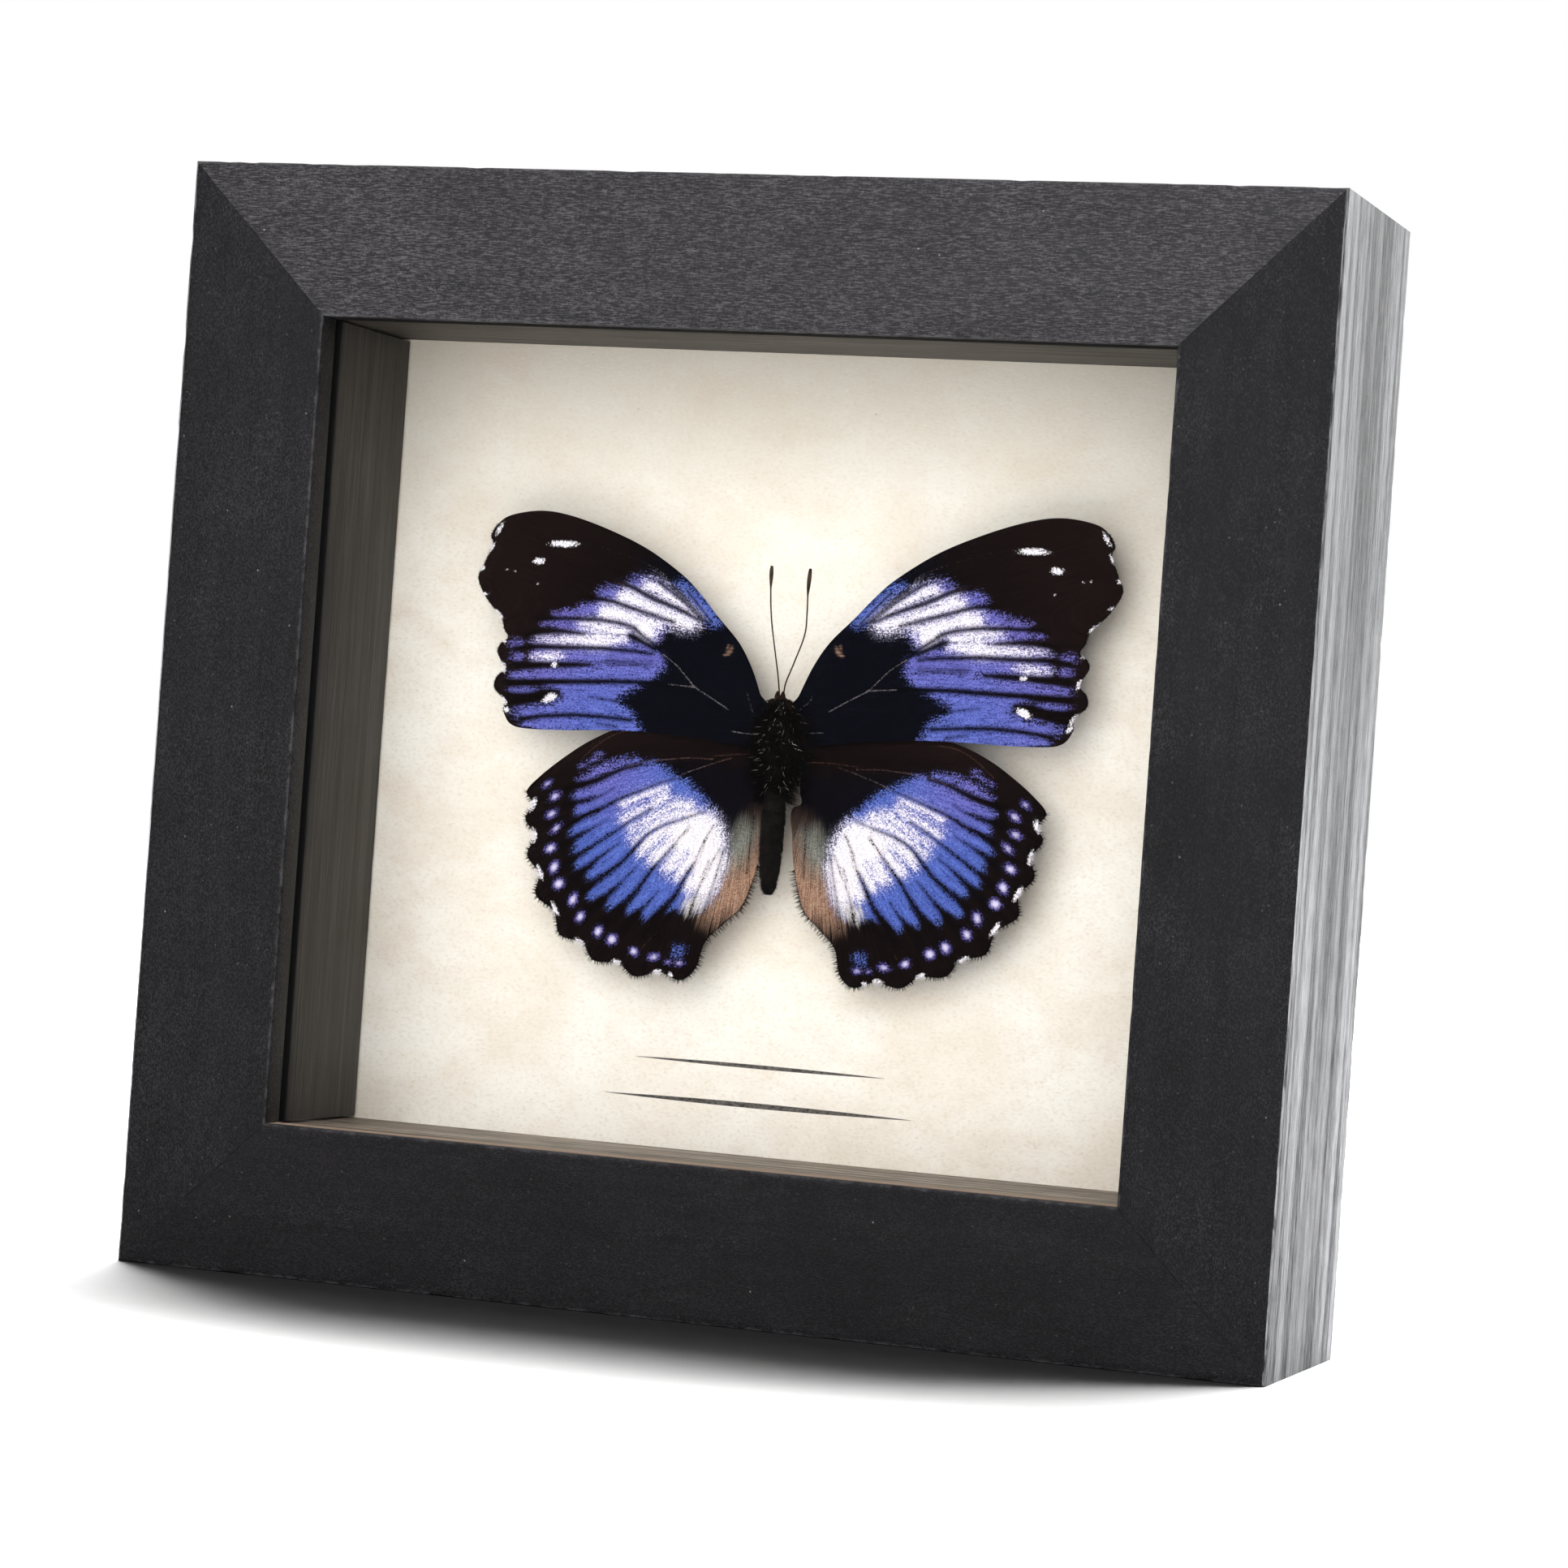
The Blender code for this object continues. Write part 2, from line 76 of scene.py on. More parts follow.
HINDWING_OUTLINE = [
    (3.1, 1.5), (8.0, 2.6), (16.0, 2.9), (22.0, 1.6), (26.5, -0.5), (30.0, -2.9), (33.0, -5.4),
    (34.8, -7.5), (33.9, -9.1), (34.7, -11.2), (33.3, -13.2), (34.1, -15.8), (32.3, -18.1),
    (32.5, -20.9), (29.8, -22.8), (28.8, -25.7), (25.6, -26.6), (23.8, -28.7), (20.4, -28.8),
    (18.0, -30.3), (14.7, -29.5), (11.8, -30.3), (9.8, -28.6), (8.8, -25.2), (6.4, -22.6),
    (3.9, -20.0), (2.3, -14.8), (1.6, -10.5), (1.2, -7.0), (3.1, -5.6),
]
FOREWING_RIGHT_SET = (1.026, 0.007, 0.049, 1.012, -1.7, 0.2)
HINDWING_RIGHT_SET = (0.995, 0.031, 0.067, 0.971, 0.7, -0.8)
FOREWING_BLUE = [
    [(9.7, 15.6), (10.4, 16.9), (11.8, 18.3), (13.7, 19.7), (15.3, 20.4), (15.8, 20.3),
     (14.7, 19.2), (13.4, 17.8), (12.2, 16.4), (11.5, 15.7), (10.4, 15.4)],
    [(12.3, 16.0), (13.9, 17.5), (15.8, 18.9), (17.4, 20.0), (19.1, 20.6), (21.0, 20.8),
     (21.9, 20.4), (22.0, 19.8), (21.0, 19.5), (19.6, 19.1), (17.5, 18.4), (15.3, 17.5),
     (13.1, 16.4)],
    [(12.6, 15.6), (13.7, 16.2), (15.8, 17.1), (18.5, 17.8), (21.0, 18.9), (23.4, 19.5),
     (25.0, 19.3), (26.2, 18.8), (26.4, 18.2), (25.6, 18.0), (23.4, 17.6), (21.0, 16.8),
     (18.5, 16.1), (16.9, 15.5), (15.8, 15.4), (14.8, 15.0), (13.7, 14.8), (12.9, 15.1)],
    [(16.5, 15.1), (18.6, 15.7), (21.0, 16.4), (24.0, 17.3), (25.6, 17.6), (28.0, 16.9),
     (30.5, 16.0), (32.1, 15.5), (31.3, 15.1), (28.8, 15.4), (26.1, 15.5), (23.4, 15.2),
     (21.3, 14.4), (20.2, 13.7), (19.1, 13.1), (18.3, 12.4), (17.8, 13.3), (17.3, 14.0),
     (16.9, 14.7)],
    [(21.3, 13.8), (22.9, 14.6), (25.3, 15.0), (28.8, 15.0), (31.6, 14.7), (33.2, 14.3),
     (33.7, 14.0), (32.1, 13.8), (29.4, 13.6), (28.3, 13.3), (26.1, 13.3), (23.4, 13.4),
     (22.1, 13.4)],
    [(18.6, 11.9), (19.9, 12.4), (21.6, 12.7), (22.1, 13.4), (23.4, 13.5), (26.1, 13.3),
     (28.3, 13.2), (31.6, 12.9), (33.7, 12.5), (35.1, 12.0), (34.6, 11.7), (32.1, 11.6),
     (29.4, 11.6), (26.2, 11.6), (23.5, 11.6), (20.7, 11.6), (19.1, 11.5)],
    [(17.4, 11.4), (18.6, 11.6), (21.3, 11.6), (26.2, 11.5), (30.8, 11.2), (34.6, 10.9),
     (35.1, 10.3), (35.1, 9.4), (33.5, 9.3), (30.8, 9.4), (28.9, 9.5), (26.7, 9.4), (24.0, 9.3),
     (21.3, 9.4), (19.1, 9.5), (17.2, 9.6), (16.8, 10.5)],
    [(17.0, 9.8), (19.1, 9.8), (21.3, 9.7), (24.0, 9.6), (27.0, 9.1), (29.4, 8.7), (32.1, 8.6),
     (34.8, 8.2), (37.0, 7.8), (37.8, 7.4), (37.6, 7.0), (35.7, 6.9), (32.1, 7.0), (28.1, 7.2),
     (24.0, 7.3), (20.8, 7.5), (19.1, 7.7), (18.1, 8.2), (17.2, 9.1)],
    [(20.2, 7.3), (24.0, 7.2), (28.1, 7.0), (31.6, 6.7), (33.0, 6.2), (31.6, 5.9), (30.8, 5.4),
     (30.8, 4.6), (31.6, 4.0), (33.3, 3.6), (35.4, 3.4), (36.8, 3.0), (37.1, 2.6), (36.0, 2.1),
     (33.5, 2.2), (29.5, 2.7), (26.8, 2.7), (24.1, 2.6), (21.3, 2.6), (20.5, 3.0), (22.2, 4.0),
     (23.0, 4.8), (22.7, 5.6), (21.3, 6.4)],
    [(34.1, 5.6), (35.7, 5.8), (37.6, 5.6), (37.8, 5.2), (36.8, 5.0), (34.9, 5.1)],
    [(19.6, 0.9), (20.1, 1.9), (20.5, 2.5), (22.7, 2.6), (25.7, 2.7), (29.5, 2.6), (33.5, 2.2),
     (35.4, 1.6), (35.7, 1.0), (34.9, 0.7), (32.2, 0.4), (28.1, 0.5), (24.1, 0.7)],
    [(36.7, 11.4), (37.4, 11.7), (38.1, 11.4), (37.4, 11.1)],
    [(36.5, 9.7), (37.1, 10.1), (37.8, 9.7), (37.1, 9.3)],
]
FOREWING_FROST = [
    [(12.7, 16.3), (14.7, 17.8), (16.9, 19.2), (18.5, 20.0), (19.9, 20.1), (20.3, 19.6),
     (19.3, 19.3), (17.2, 18.5), (14.8, 17.3), (13.1, 16.3)],
    [(12.6, 15.4), (14.2, 16.1), (16.9, 17.0), (19.1, 17.7), (21.2, 18.5), (22.6, 19.0),
     (23.3, 18.7), (23.5, 17.8), (21.3, 17.1), (18.5, 16.3), (16.4, 15.4), (15.0, 14.9),
     (13.7, 14.8)],
    [(17.5, 15.1), (19.6, 15.7), (22.1, 16.3), (24.5, 17.1), (25.8, 16.7), (26.1, 16.0),
     (25.6, 15.3), (23.2, 15.2), (21.3, 14.6), (20.5, 13.8), (19.1, 13.0), (18.6, 13.3),
     (18.3, 14.2), (17.7, 14.7)],
    [(21.9, 13.7), (23.2, 14.3), (25.3, 14.8), (27.5, 14.8), (29.0, 14.5), (28.0, 14.0),
     (26.1, 13.6), (24.0, 13.4)],
    [(22.4, 12.9), (24.0, 13.2), (26.1, 13.2), (28.3, 13.1), (30.8, 12.9), (32.9, 12.6),
     (34.7, 12.1), (33.2, 11.8), (30.8, 11.7), (28.3, 11.7), (26.2, 11.7), (24.5, 12.1),
     (23.2, 12.5)],
    [(30.8, 10.4), (32.1, 10.7), (34.3, 10.2), (35.0, 9.7), (33.5, 9.4), (31.9, 9.7)],
]
FOREWING_DARK = [
    ([(12.5, 15.9), (14.8, 16.9), (16.9, 17.6), (19.1, 18.3), (21.2, 19.3), (23.1, 19.9),
     (24.6, 20.1)], 0.3, 0.25),
    ([(15.8, 15.4), (18.5, 16.1), (21.3, 16.8), (24.0, 17.5), (26.1, 17.8), (28.3, 17.9)], 0.3,
     0.25),
    ([(14.8, 9.7), (15.9, 10.5), (17.0, 11.3), (18.6, 12.6), (20.2, 13.6), (21.3, 14.4),
     (22.9, 14.8), (25.3, 15.1), (28.0, 15.1), (30.7, 15.1), (34.8, 14.9)], 0.35, 0.25),
    ([(28.0, 13.2), (29.9, 13.3), (31.6, 13.4), (34.5, 13.2), (36.2, 12.8)], 0.1, 0.7),
    ([(18.6, 11.1), (20.7, 11.3), (23.5, 11.4), (26.2, 11.5), (30.8, 11.3), (34.8, 11.2),
     (37.5, 10.8)], 0.3, 0.45),
    ([(15.9, 7.3), (18.6, 7.4), (21.3, 7.4), (24.0, 7.3), (28.1, 7.0), (32.1, 6.8), (34.9, 6.6),
     (38.1, 6.3)], 0.35, 0.65),
    ([(20.7, 2.5), (22.7, 2.6), (25.4, 2.7), (28.1, 2.7), (30.8, 2.5), (33.5, 2.2), (36.0, 1.7)],
     0.25, 0.4),
    ([(27.0, 9.3), (29.2, 9.2), (32.1, 9.0), (34.8, 8.8), (37.6, 8.6)], 0.15, 0.9),
    ([(18.3, 11.9), (19.7, 12.5), (21.0, 13.1), (21.8, 13.4)], 0.35, 0.5),
    ([(31.2, 5.5), (33.2, 5.1), (35.7, 4.5), (38.1, 4.2)], 0.5, 1.6),
    ([(11.2, 15.6), (12.3, 16.4), (13.7, 17.6), (15.0, 18.8), (16.4, 19.8)], 0.12, 0.2),
    ([(10.7, 15.7), (11.8, 16.9), (13.1, 18.3), (14.3, 19.5)], 0.1, 0.14),
    ([(11.9, 15.8), (13.1, 16.7), (14.7, 18.1), (16.4, 19.2), (18.2, 20.4)], 0.16, 0.25),
    ([(23.0, 4.8), (24.9, 5.0), (26.7, 5.2)], 0.1, 0.05),
    ([(22.7, 1.5), (24.1, 1.7), (25.4, 1.8)], 0.06, 0.04),
]
FOREWING_DUSK = [
    ([(18.6, 10.0), (20.2, 9.9), (22.1, 9.9), (24.8, 9.9)], 0.16, 0.2),
]
FOREWING_PALE = [
    ([(7.5, 4.6), (10.0, 6.0), (12.1, 7.1), (13.5, 8.4), (14.8, 9.7), (15.9, 10.5), (17.0, 11.2)],
     0.09, 0.06),
    ([(12.1, 7.2), (13.7, 7.3), (15.9, 7.4)], 0.1, 0.05),
    ([(4.2, 1.7), (5.7, 1.8), (7.0, 1.9)], 0.08, 0.05),
    ([(2.9, 1.8), (4.3, 2.0)], 0.05, 0.04),
    ([(10.2, 15.5), (11.2, 16.6), (13.1, 18.7), (14.2, 19.7)], 0.16, 0.08),
    ([(11.0, 15.7), (12.6, 17.4), (14.7, 19.6), (15.3, 20.0)], 0.12, 0.08),
    ([(11.6, 15.9), (13.7, 17.7), (15.8, 19.4), (17.4, 20.8), (18.2, 21.4)], 0.12, 0.1),
    ([(16.9, 20.8), (18.5, 22.0), (22.6, 23.4), (26.6, 24.5)], 0.06, 0.03),
    ([(22.9, 19.9), (24.7, 20.2)], 0.07, 0.05),
    ([(5.2, 7.0), (4.7, 4.2)], 0.05, 0.04),
]
FOREWING_SCARS = [
    [(7.6, 12.7), (7.9, 12.5), (8.3, 12.1), (8.7, 11.5), (8.2, 11.6), (7.7, 12.0)],
    [(8.1, 12.8), (8.3, 12.8), (8.4, 12.2)],
]
FOREWING_SPOTS = [
    (31.9, 24.7, 1.7, 0.38, -2), (35.1, 22.3, 0.74, 0.4, -5), (35.1, 19.4, 0.1, 0.09, 0),
    (38.4, 20.9, 0.07, 0.05, 0), (39.5, 21.0, 0.06, 0.04, 0), (31.9, 9.0, 0.36, 0.28, 0),
    (32.3, 4.7, 0.95, 0.46, -28), (41.0, 26.2, 0.72, 0.22, -58), (42.0, 23.7, 0.61, 0.22, -58),
    (43.0, 21.0, 0.28, 0.17, -30), (42.4, 17.7, 0.36, 0.17, 5), (40.3, 15.2, 0.67, 0.25, 43),
    (39.3, 12.1, 0.56, 0.25, 65), (39.0, 8.3, 0.56, 0.28, 75), (38.7, 4.0, 0.67, 0.28, 48),
    (38.2, 2.8, 0.42, 0.28, 45),
]
HINDWING_BLUE = [
    [(12.5, -5.2), (14.5, -4.3), (17.0, -3.0), (19.0, -3.0), (20.0, -3.5), (21.5, -3.9),
     (23.6, -4.9), (25.9, -6.1), (28.0, -6.8), (28.7, -8.4), (28.1, -10.1), (28.7, -10.9),
     (29.2, -13.3), (28.3, -14.5), (28.3, -15.9), (27.5, -18.1), (26.0, -18.5), (26.2, -20.3),
     (24.4, -22.1), (23.3, -21.4), (22.3, -23.1), (20.6, -22.2), (19.6, -23.3), (18.1, -22.7),
     (17.3, -24.1), (15.6, -22.9), (14.0, -21.8), (12.8, -21.4), (11.5, -21.3), (10.5, -21.0),
     (9.2, -20.7), (8.2, -19.3), (7.5, -17.2), (6.9, -14.6), (7.0, -13.1), (7.5, -11.5),
     (8.0, -10.0), (8.6, -8.8), (9.8, -7.6), (11.1, -6.4)],
    [(19.7, -2.6), (21.0, -2.6), (23.0, -3.1), (25.3, -4.1), (26.8, -5.1), (27.9, -5.7),
     (27.4, -6.0), (25.6, -5.2), (23.3, -4.1), (21.5, -3.4)],
]
HINDWING_FROST = [
    [(7.6, -11.0), (8.4, -9.5), (9.4, -8.8), (10.6, -8.7), (12.7, -9.5), (15.0, -10.6),
     (16.7, -11.6), (18.3, -13.2), (18.5, -14.4), (17.3, -13.9), (15.8, -12.4), (14.7, -11.8),
     (15.3, -12.8), (16.4, -14.0), (17.1, -15.0), (16.7, -15.6), (15.3, -14.9), (14.0, -13.5),
     (13.8, -14.0), (15.1, -16.2), (14.1, -16.5), (12.8, -15.0), (12.2, -14.2), (12.8, -15.5),
     (13.5, -17.0), (12.9, -17.4), (11.9, -16.5), (11.2, -15.9), (12.1, -18.3), (10.7, -19.0),
     (9.7, -19.4), (8.7, -19.1), (7.9, -17.7), (7.3, -15.6), (7.0, -14.1), (7.2, -12.3)],
]
HINDWING_GRAIN = [
    ([(15.7, -6.1), (17.6, -6.6), (19.6, -7.5), (21.4, -8.3)], 0.5, 0.3),
    ([(15.5, -7.1), (17.1, -8.0), (18.9, -9.0), (21.0, -10.2)], 0.8, 0.5),
    ([(12.1, -8.1), (14.1, -7.9), (15.6, -8.8), (17.7, -10.2), (19.8, -11.5)], 1, 0.5),
    ([(11.6, -9.0), (13.7, -9.1), (15.9, -10.2), (17.7, -11.5), (19.5, -12.9)], 1.2, 0.5),
    ([(10.7, -10.2), (12.7, -10.9), (14.7, -11.5)], 1.5, 1.2),
]
HINDWING_DARK = [
    ([(19.0, -3.1), (21.5, -3.8), (23.6, -4.8), (25.6, -5.7), (28.9, -6.7)], 0.3, 0.9),
    ([(22.6, -6.3), (24.1, -7.3), (25.9, -8.0), (29.2, -9.0)], 0.1, 1.3),
    ([(14.5, -4.6), (16.6, -5.4), (18.8, -6.4), (21.6, -7.6), (23.7, -8.8), (26.0, -10.0),
     (29.3, -11.8)], 0.15, 1.2),
    ([(23.2, -10.4), (24.8, -11.4), (26.6, -12.5), (29.6, -14.5)], 0.1, 1.5),
    ([(17.2, -8.6), (19.5, -10.0), (21.8, -11.7), (24.9, -13.9), (27.4, -15.7), (29.7, -17.3)],
     0.12, 1.3),
    ([(21.3, -13.3), (22.9, -14.5), (24.9, -16.2), (28.3, -19.2)], 0.1, 1.7),
    ([(9.9, -8.5), (12.7, -9.6), (15.7, -10.8), (17.8, -12.2), (19.9, -14.7), (21.9, -16.7),
     (24.0, -18.3), (27.9, -21.4)], 0.12, 1.4),
    ([(18.8, -16.3), (20.2, -17.8), (22.0, -19.7), (25.4, -22.8)], 0.1, 1.7),
    ([(11.9, -10.6), (13.2, -12.2), (15.1, -14.6), (16.9, -16.8), (18.5, -19.2), (20.1, -21.2),
     (23.2, -24.5)], 0.12, 1.6),
    ([(15.5, -19.0), (16.8, -20.7), (18.1, -22.1), (20.2, -24.3)], 0.1, 1.6),
    ([(8.7, -10.3), (9.7, -12.2), (10.8, -14.9), (12.2, -17.5), (13.5, -19.9), (15.1, -21.8),
     (17.1, -24.6)], 0.14, 1.6),
    ([(13.0, -21.4), (14.1, -22.4), (15.6, -24.2)], 0.3, 1.4),
    ([(7.0, -13.0), (7.8, -16.2), (8.7, -19.9), (9.2, -22.5)], 0.1, 0.25),
    ([(8.9, -14.7), (10.2, -18.7), (11.1, -21.6)], 0.05, 0.5),
    ([(3.3, -8.7), (3.5, -11.8), (3.7, -15.9)], 0.12, 0.12),
    ([(7.6, -13.1), (8.6, -15.2), (9.6, -17.3)], 0.05, 0.03),
]
HINDWING_PALE = [
    ([(9.4, -1.8), (12.4, -1.8), (14.9, -2.1), (17.5, -2.5), (19.5, -3.0), (21.5, -3.8)], 0.09,
     0.06),
    ([(2.3, -0.9), (5.6, -0.9), (9.4, -1.4)], 0.05, 0.04),
    ([(19.9, 1.3), (22.4, 0.8), (24.9, -0.6), (27.5, -2.9)], 0.1, 0.06),
    ([(6.9, -1.5), (9.2, -2.3), (12.5, -3.6), (14.5, -4.6)], 0.05, 0.04),
    ([(15.4, -24.4), (16.7, -25.8), (17.5, -26.9)], 0.05, 0.04),
    ([(27.7, -25.5), (28.1, -26.2)], 0.08, 0.05),
    ([(2.2, -0.9), (2.9, -0.2), (3.6, -1.0)], 0.14, 0.1),
    ([(2.3, -1.1), (3.4, -1.1), (4.0, -0.7)], 0.12, 0.1),
    ([(1.1, -2.7), (1.3, -3.2)], 0.16, 0.12),
    ([(2.3, -2.4), (2.8, -3.0)], 0.12, 0.08),
]
HINDWING_GREY = [
    [(2.6, -10.4), (4.5, -9.6), (5.2, -10.2), (6.3, -11.6), (6.9, -13.3), (7.5, -16.2),
     (6.4, -16.9), (4.5, -16.2), (3.6, -14.4)],
]
HINDWING_WARM = [
    [(0.6, -10.5), (2.5, -12.7), (3.6, -14.4), (6.1, -15.7), (7.5, -16.9), (8.3, -19.1),
     (9.0, -20.9), (8.7, -22.2), (6.3, -21.9), (3.7, -20.8), (2.4, -18.7), (1.3, -15.0)],
]
HINDWING_VEIL = [
    [(-0.6, -5.6), (3.2, -6.6), (4.3, -9.5), (4.2, -13.4), (2.6, -14.0), (0.8, -11.0)],
]
HINDWING_CREAM = [
    [(7.0, -14.3), (8.3, -15.2), (10.4, -18.9), (12.0, -20.3), (11.5, -21.6), (9.7, -21.0),
     (8.3, -19.3), (7.5, -17.2)],
]
HINDWING_BASE = [
    [(12.5, -5.2), (11.1, -6.4), (9.8, -7.6), (8.6, -8.8), (8.0, -10.0), (7.4, -11.3),
     (6.9, -12.6), (5.9, -10.9), (4.9, -9.3), (3.6, -7.9), (2.5, -7.1), (1.5, -6.5), (-0.1, -4.6),
     (-1.2, -1.2), (-1.3, 1.9), (4.8, 2.0), (14.8, 1.3), (19.9, -0.6), (17.0, -3.1),
     (14.5, -4.3)],
]
HINDWING_CLUSTER = [
    [(11.2, -26.0), (12.9, -25.8), (13.2, -27.4), (12.2, -27.8)],
]
HINDWING_DUST = [
    [(24.5, -1.6), (25.7, -2.0), (27.8, -3.7), (27.6, -4.3), (25.8, -3.4), (24.5, -2.7)],
]
# Small oval marks: middle, half length, half height, turn in degrees.
HINDWING_DOTS = [
    (32.0, -6.4, 0.75, 0.4, -40), (30.8, -7.95, 0.9, 0.5, -35), (31.1, -10.25, 0.9, 0.5, -30),
    (30.3, -12.05, 0.95, 0.45, -40), (30.9, -14.7, 0.95, 0.6, -30), (30.2, -17.1, 0.9, 0.65, -60),
    (29.4, -19.2, 0.9, 0.7, -35), (27.25, -21.1, 0.95, 0.6, -65), (26.1, -23.2, 0.85, 0.6, -55),
    (23.45, -24.9, 0.85, 0.65, -60), (21.5, -25.8, 0.8, 0.7, -40), (18.4, -27.1, 0.7, 0.6, 30),
    (15.6, -27.6, 0.8, 0.5, -15), (13.6, -28.1, 0.45, 0.3, 0), (12.1, -28.1, 0.7, 0.4, -5),
]
HINDWING_NOTCHES = [
    (33.8, -9.2, 0.85, 0.34, -68), (33.4, -13.2, 0.85, 0.36, 85), (32.2, -17.9, 0.85, 0.34, 62),
    (29.7, -22.5, 0.85, 0.32, 60), (25.9, -26.5, 0.75, 0.3, 30), (20.6, -28.7, 0.6, 0.34, 15),
    (15.0, -29.5, 0.65, 0.3, -12), (13.2, -29.7, 0.3, 0.26, 0),
]


# --- node helpers ----------------------------------------------------------------------------
def colour(code):
    """A linear colour from a six-digit sRGB code."""
    parts = [int(code[k:k + 2], 16) / 255 for k in (0, 2, 4)]
    return (*[p / 12.92 if p <= 0.04045 else ((p + 0.055) / 1.055) ** 2.4 for p in parts], 1.0)


class Tree:
    """Adds nodes to a tree. A value is a socket to link, a number, or a colour's sRGB code."""

    def __init__(self, tree):
        self.tree = tree
        self.count = 0

    def node(self, kind, inputs=None, **settings):
        made = self.tree.nodes.new("ShaderNode" + kind)
        made.location = (180 * (self.count % 12), -260 * (self.count // 12))
        self.count += 1
        for key, value in settings.items():
            setattr(made, key, value)
        for key, value in (inputs or {}).items():
            self.put(made.inputs[key], value)
        return made

    def put(self, socket, value):
        if isinstance(value, bpy.types.NodeSocket):
            self.tree.links.new(value, socket)
        else:
            socket.default_value = colour(value) if isinstance(value, str) else value

    def fill(self, sockets, **values):
        """Puts each value in the socket of that name, with a low line for each space."""
        for key, value in values.items():
            self.put(sockets[key.replace("_", " ")], value)

    def math(self, operation, first, second=0.0, clamp=False):
        made = self.node("Math", {0: first, 1: second}, operation=operation)
        made.use_clamp = clamp
        return made.outputs[0]

    def plus(self, first, second, clamp=False):
        return self.math("ADD", first, second, clamp)

    def minus(self, first, second, clamp=False):
        return self.math("SUBTRACT", first, second, clamp)

    def times(self, first, second, clamp=False):
        return self.math("MULTIPLY", first, second, clamp)

    def absolute(self, value):
        return self.math("ABSOLUTE", value)

    def mix(self, factor, first, second):
        made = self.node("Mix", data_type="RGBA")
        self.put(made.inputs["Factor"], factor)
        self.put(made.inputs[6], first)
        self.put(made.inputs[7], second)
        return made.outputs[2]

    def remap(self, value, low, high, to_low=0.0, to_high=1.0, smooth=False):
        made = self.node("MapRange", {"Value": value, "From Min": low, "From Max": high,
                                      "To Min": to_low, "To Max": to_high})
        made.interpolation_type = "SMOOTHSTEP" if smooth else "LINEAR"
        return made.outputs[0]

    def attribute(self, name):
        return self.node("Attribute", attribute_name=name).outputs["Fac"]

    def place(self, scale=(1, 1, 1), turn=(0, 0, 0)):
        """Object coordinates through a mapping, so a pattern can be stretched along a piece."""
        made = self.node("Mapping", {"Vector": self.node("TexCoord").outputs["Object"],
                                     "Scale": scale, "Rotation": turn})
        return made.outputs[0]

    def noise(self, vector, scale, detail=2.0, roughness=0.5, distortion=0.0):
        return self.node("TexNoise", {"Vector": vector, "Scale": scale, "Detail": detail,
                                      "Roughness": roughness, "Distortion": distortion}).outputs[0]

    def cells(self, vector, scale, output="Color"):
        return self.node("TexVoronoi", {"Vector": vector, "Scale": scale}).outputs[output]

    def bump(self, height, distance, strength=1.0, normal=None):
        made = self.node("Bump", {"Height": height, "Distance": distance, "Strength": strength})
        if normal is not None:
            self.put(made.inputs["Normal"], normal)
        return made.outputs[0]

    def use(self, group, **inputs):
        made = self.node("Group", node_tree=group)
        self.fill(made.inputs, **inputs)
        return made.outputs


def new_group(name, inputs, outputs):
    """An empty shader group; inputs are (name, kind, default) and outputs are (name, kind)."""
    group = bpy.data.node_groups.new(name, "ShaderNodeTree")
    for label, kind, default in inputs:
        socket = group.interface.new_socket(label, in_out="INPUT", socket_type="NodeSocket" + kind)
        if default is not None:
            socket.default_value = default
    for label, kind in outputs:
        group.interface.new_socket(label, in_out="OUTPUT", socket_type="NodeSocket" + kind)
    tree = Tree(group)
    start = group.nodes.new("NodeGroupInput")
    end = group.nodes.new("NodeGroupOutput")
    start.location.x, end.location.x = (-300, 2400)
    return group, tree, start.outputs, end.inputs


def new_material(name):
    material = bpy.data.materials.new(name)
    material.use_nodes = True
    shader = material.node_tree.nodes["Principled BSDF"]
    return material, Tree(material.node_tree), shader


# --- shared effects --------------------------------------------------------------------------
def make_wood_grain():
    """Streaks and height of planed wood with pores. The vector runs slowly along the grain."""
    group, t, given, result = new_group(
        "wood grain",
        [("Vector", "Vector", None), ("Streak Scale", "Float", 700.0),
         ("Pore Scale", "Float", 2600.0), ("Waver", "Float", 0.4)],
        [("Streak", "Float"), ("Height", "Float")])
    broad = t.noise(given["Vector"], given["Streak Scale"], 4.0, 0.62, given["Waver"])
    fine = t.noise(given["Vector"], given["Pore Scale"], 3.0, 0.6, given["Waver"])
    streak = t.remap(t.plus(t.times(broad, 0.65), t.times(fine, 0.35)), 0.34, 0.66)
    pores = t.remap(fine, 0.60, 0.72)
    height = t.minus(streak, t.times(pores, 0.8))
    t.fill(result, Streak=streak, Height=height)
    return group


def make_fine_dust():
    """Small separate specks, one to a cell, of mixed size and strength."""
    group, t, given, result = new_group(
        "fine dust",
        [("Vector", "Vector", None), ("Spacing Scale", "Float", 900.0), ("Size", "Float", 0.1),
         ("Share", "Float", 0.3)],
        [("Specks", "Float")])
    made = t.node("TexVoronoi", {"Vector": given["Vector"], "Scale": given["Spacing Scale"]})
    parts = t.node("SeparateColor", {0: made.outputs["Color"]}).outputs
    radius = t.times(given["Size"], t.plus(0.45, parts[1]))
    disc = t.remap(made.outputs["Distance"], radius, 0.0, smooth=True)
    chosen = t.math("LESS_THAN", parts[0], given["Share"])
    t.put(result["Specks"], t.times(disc, t.times(chosen, parts[2])))
    return group


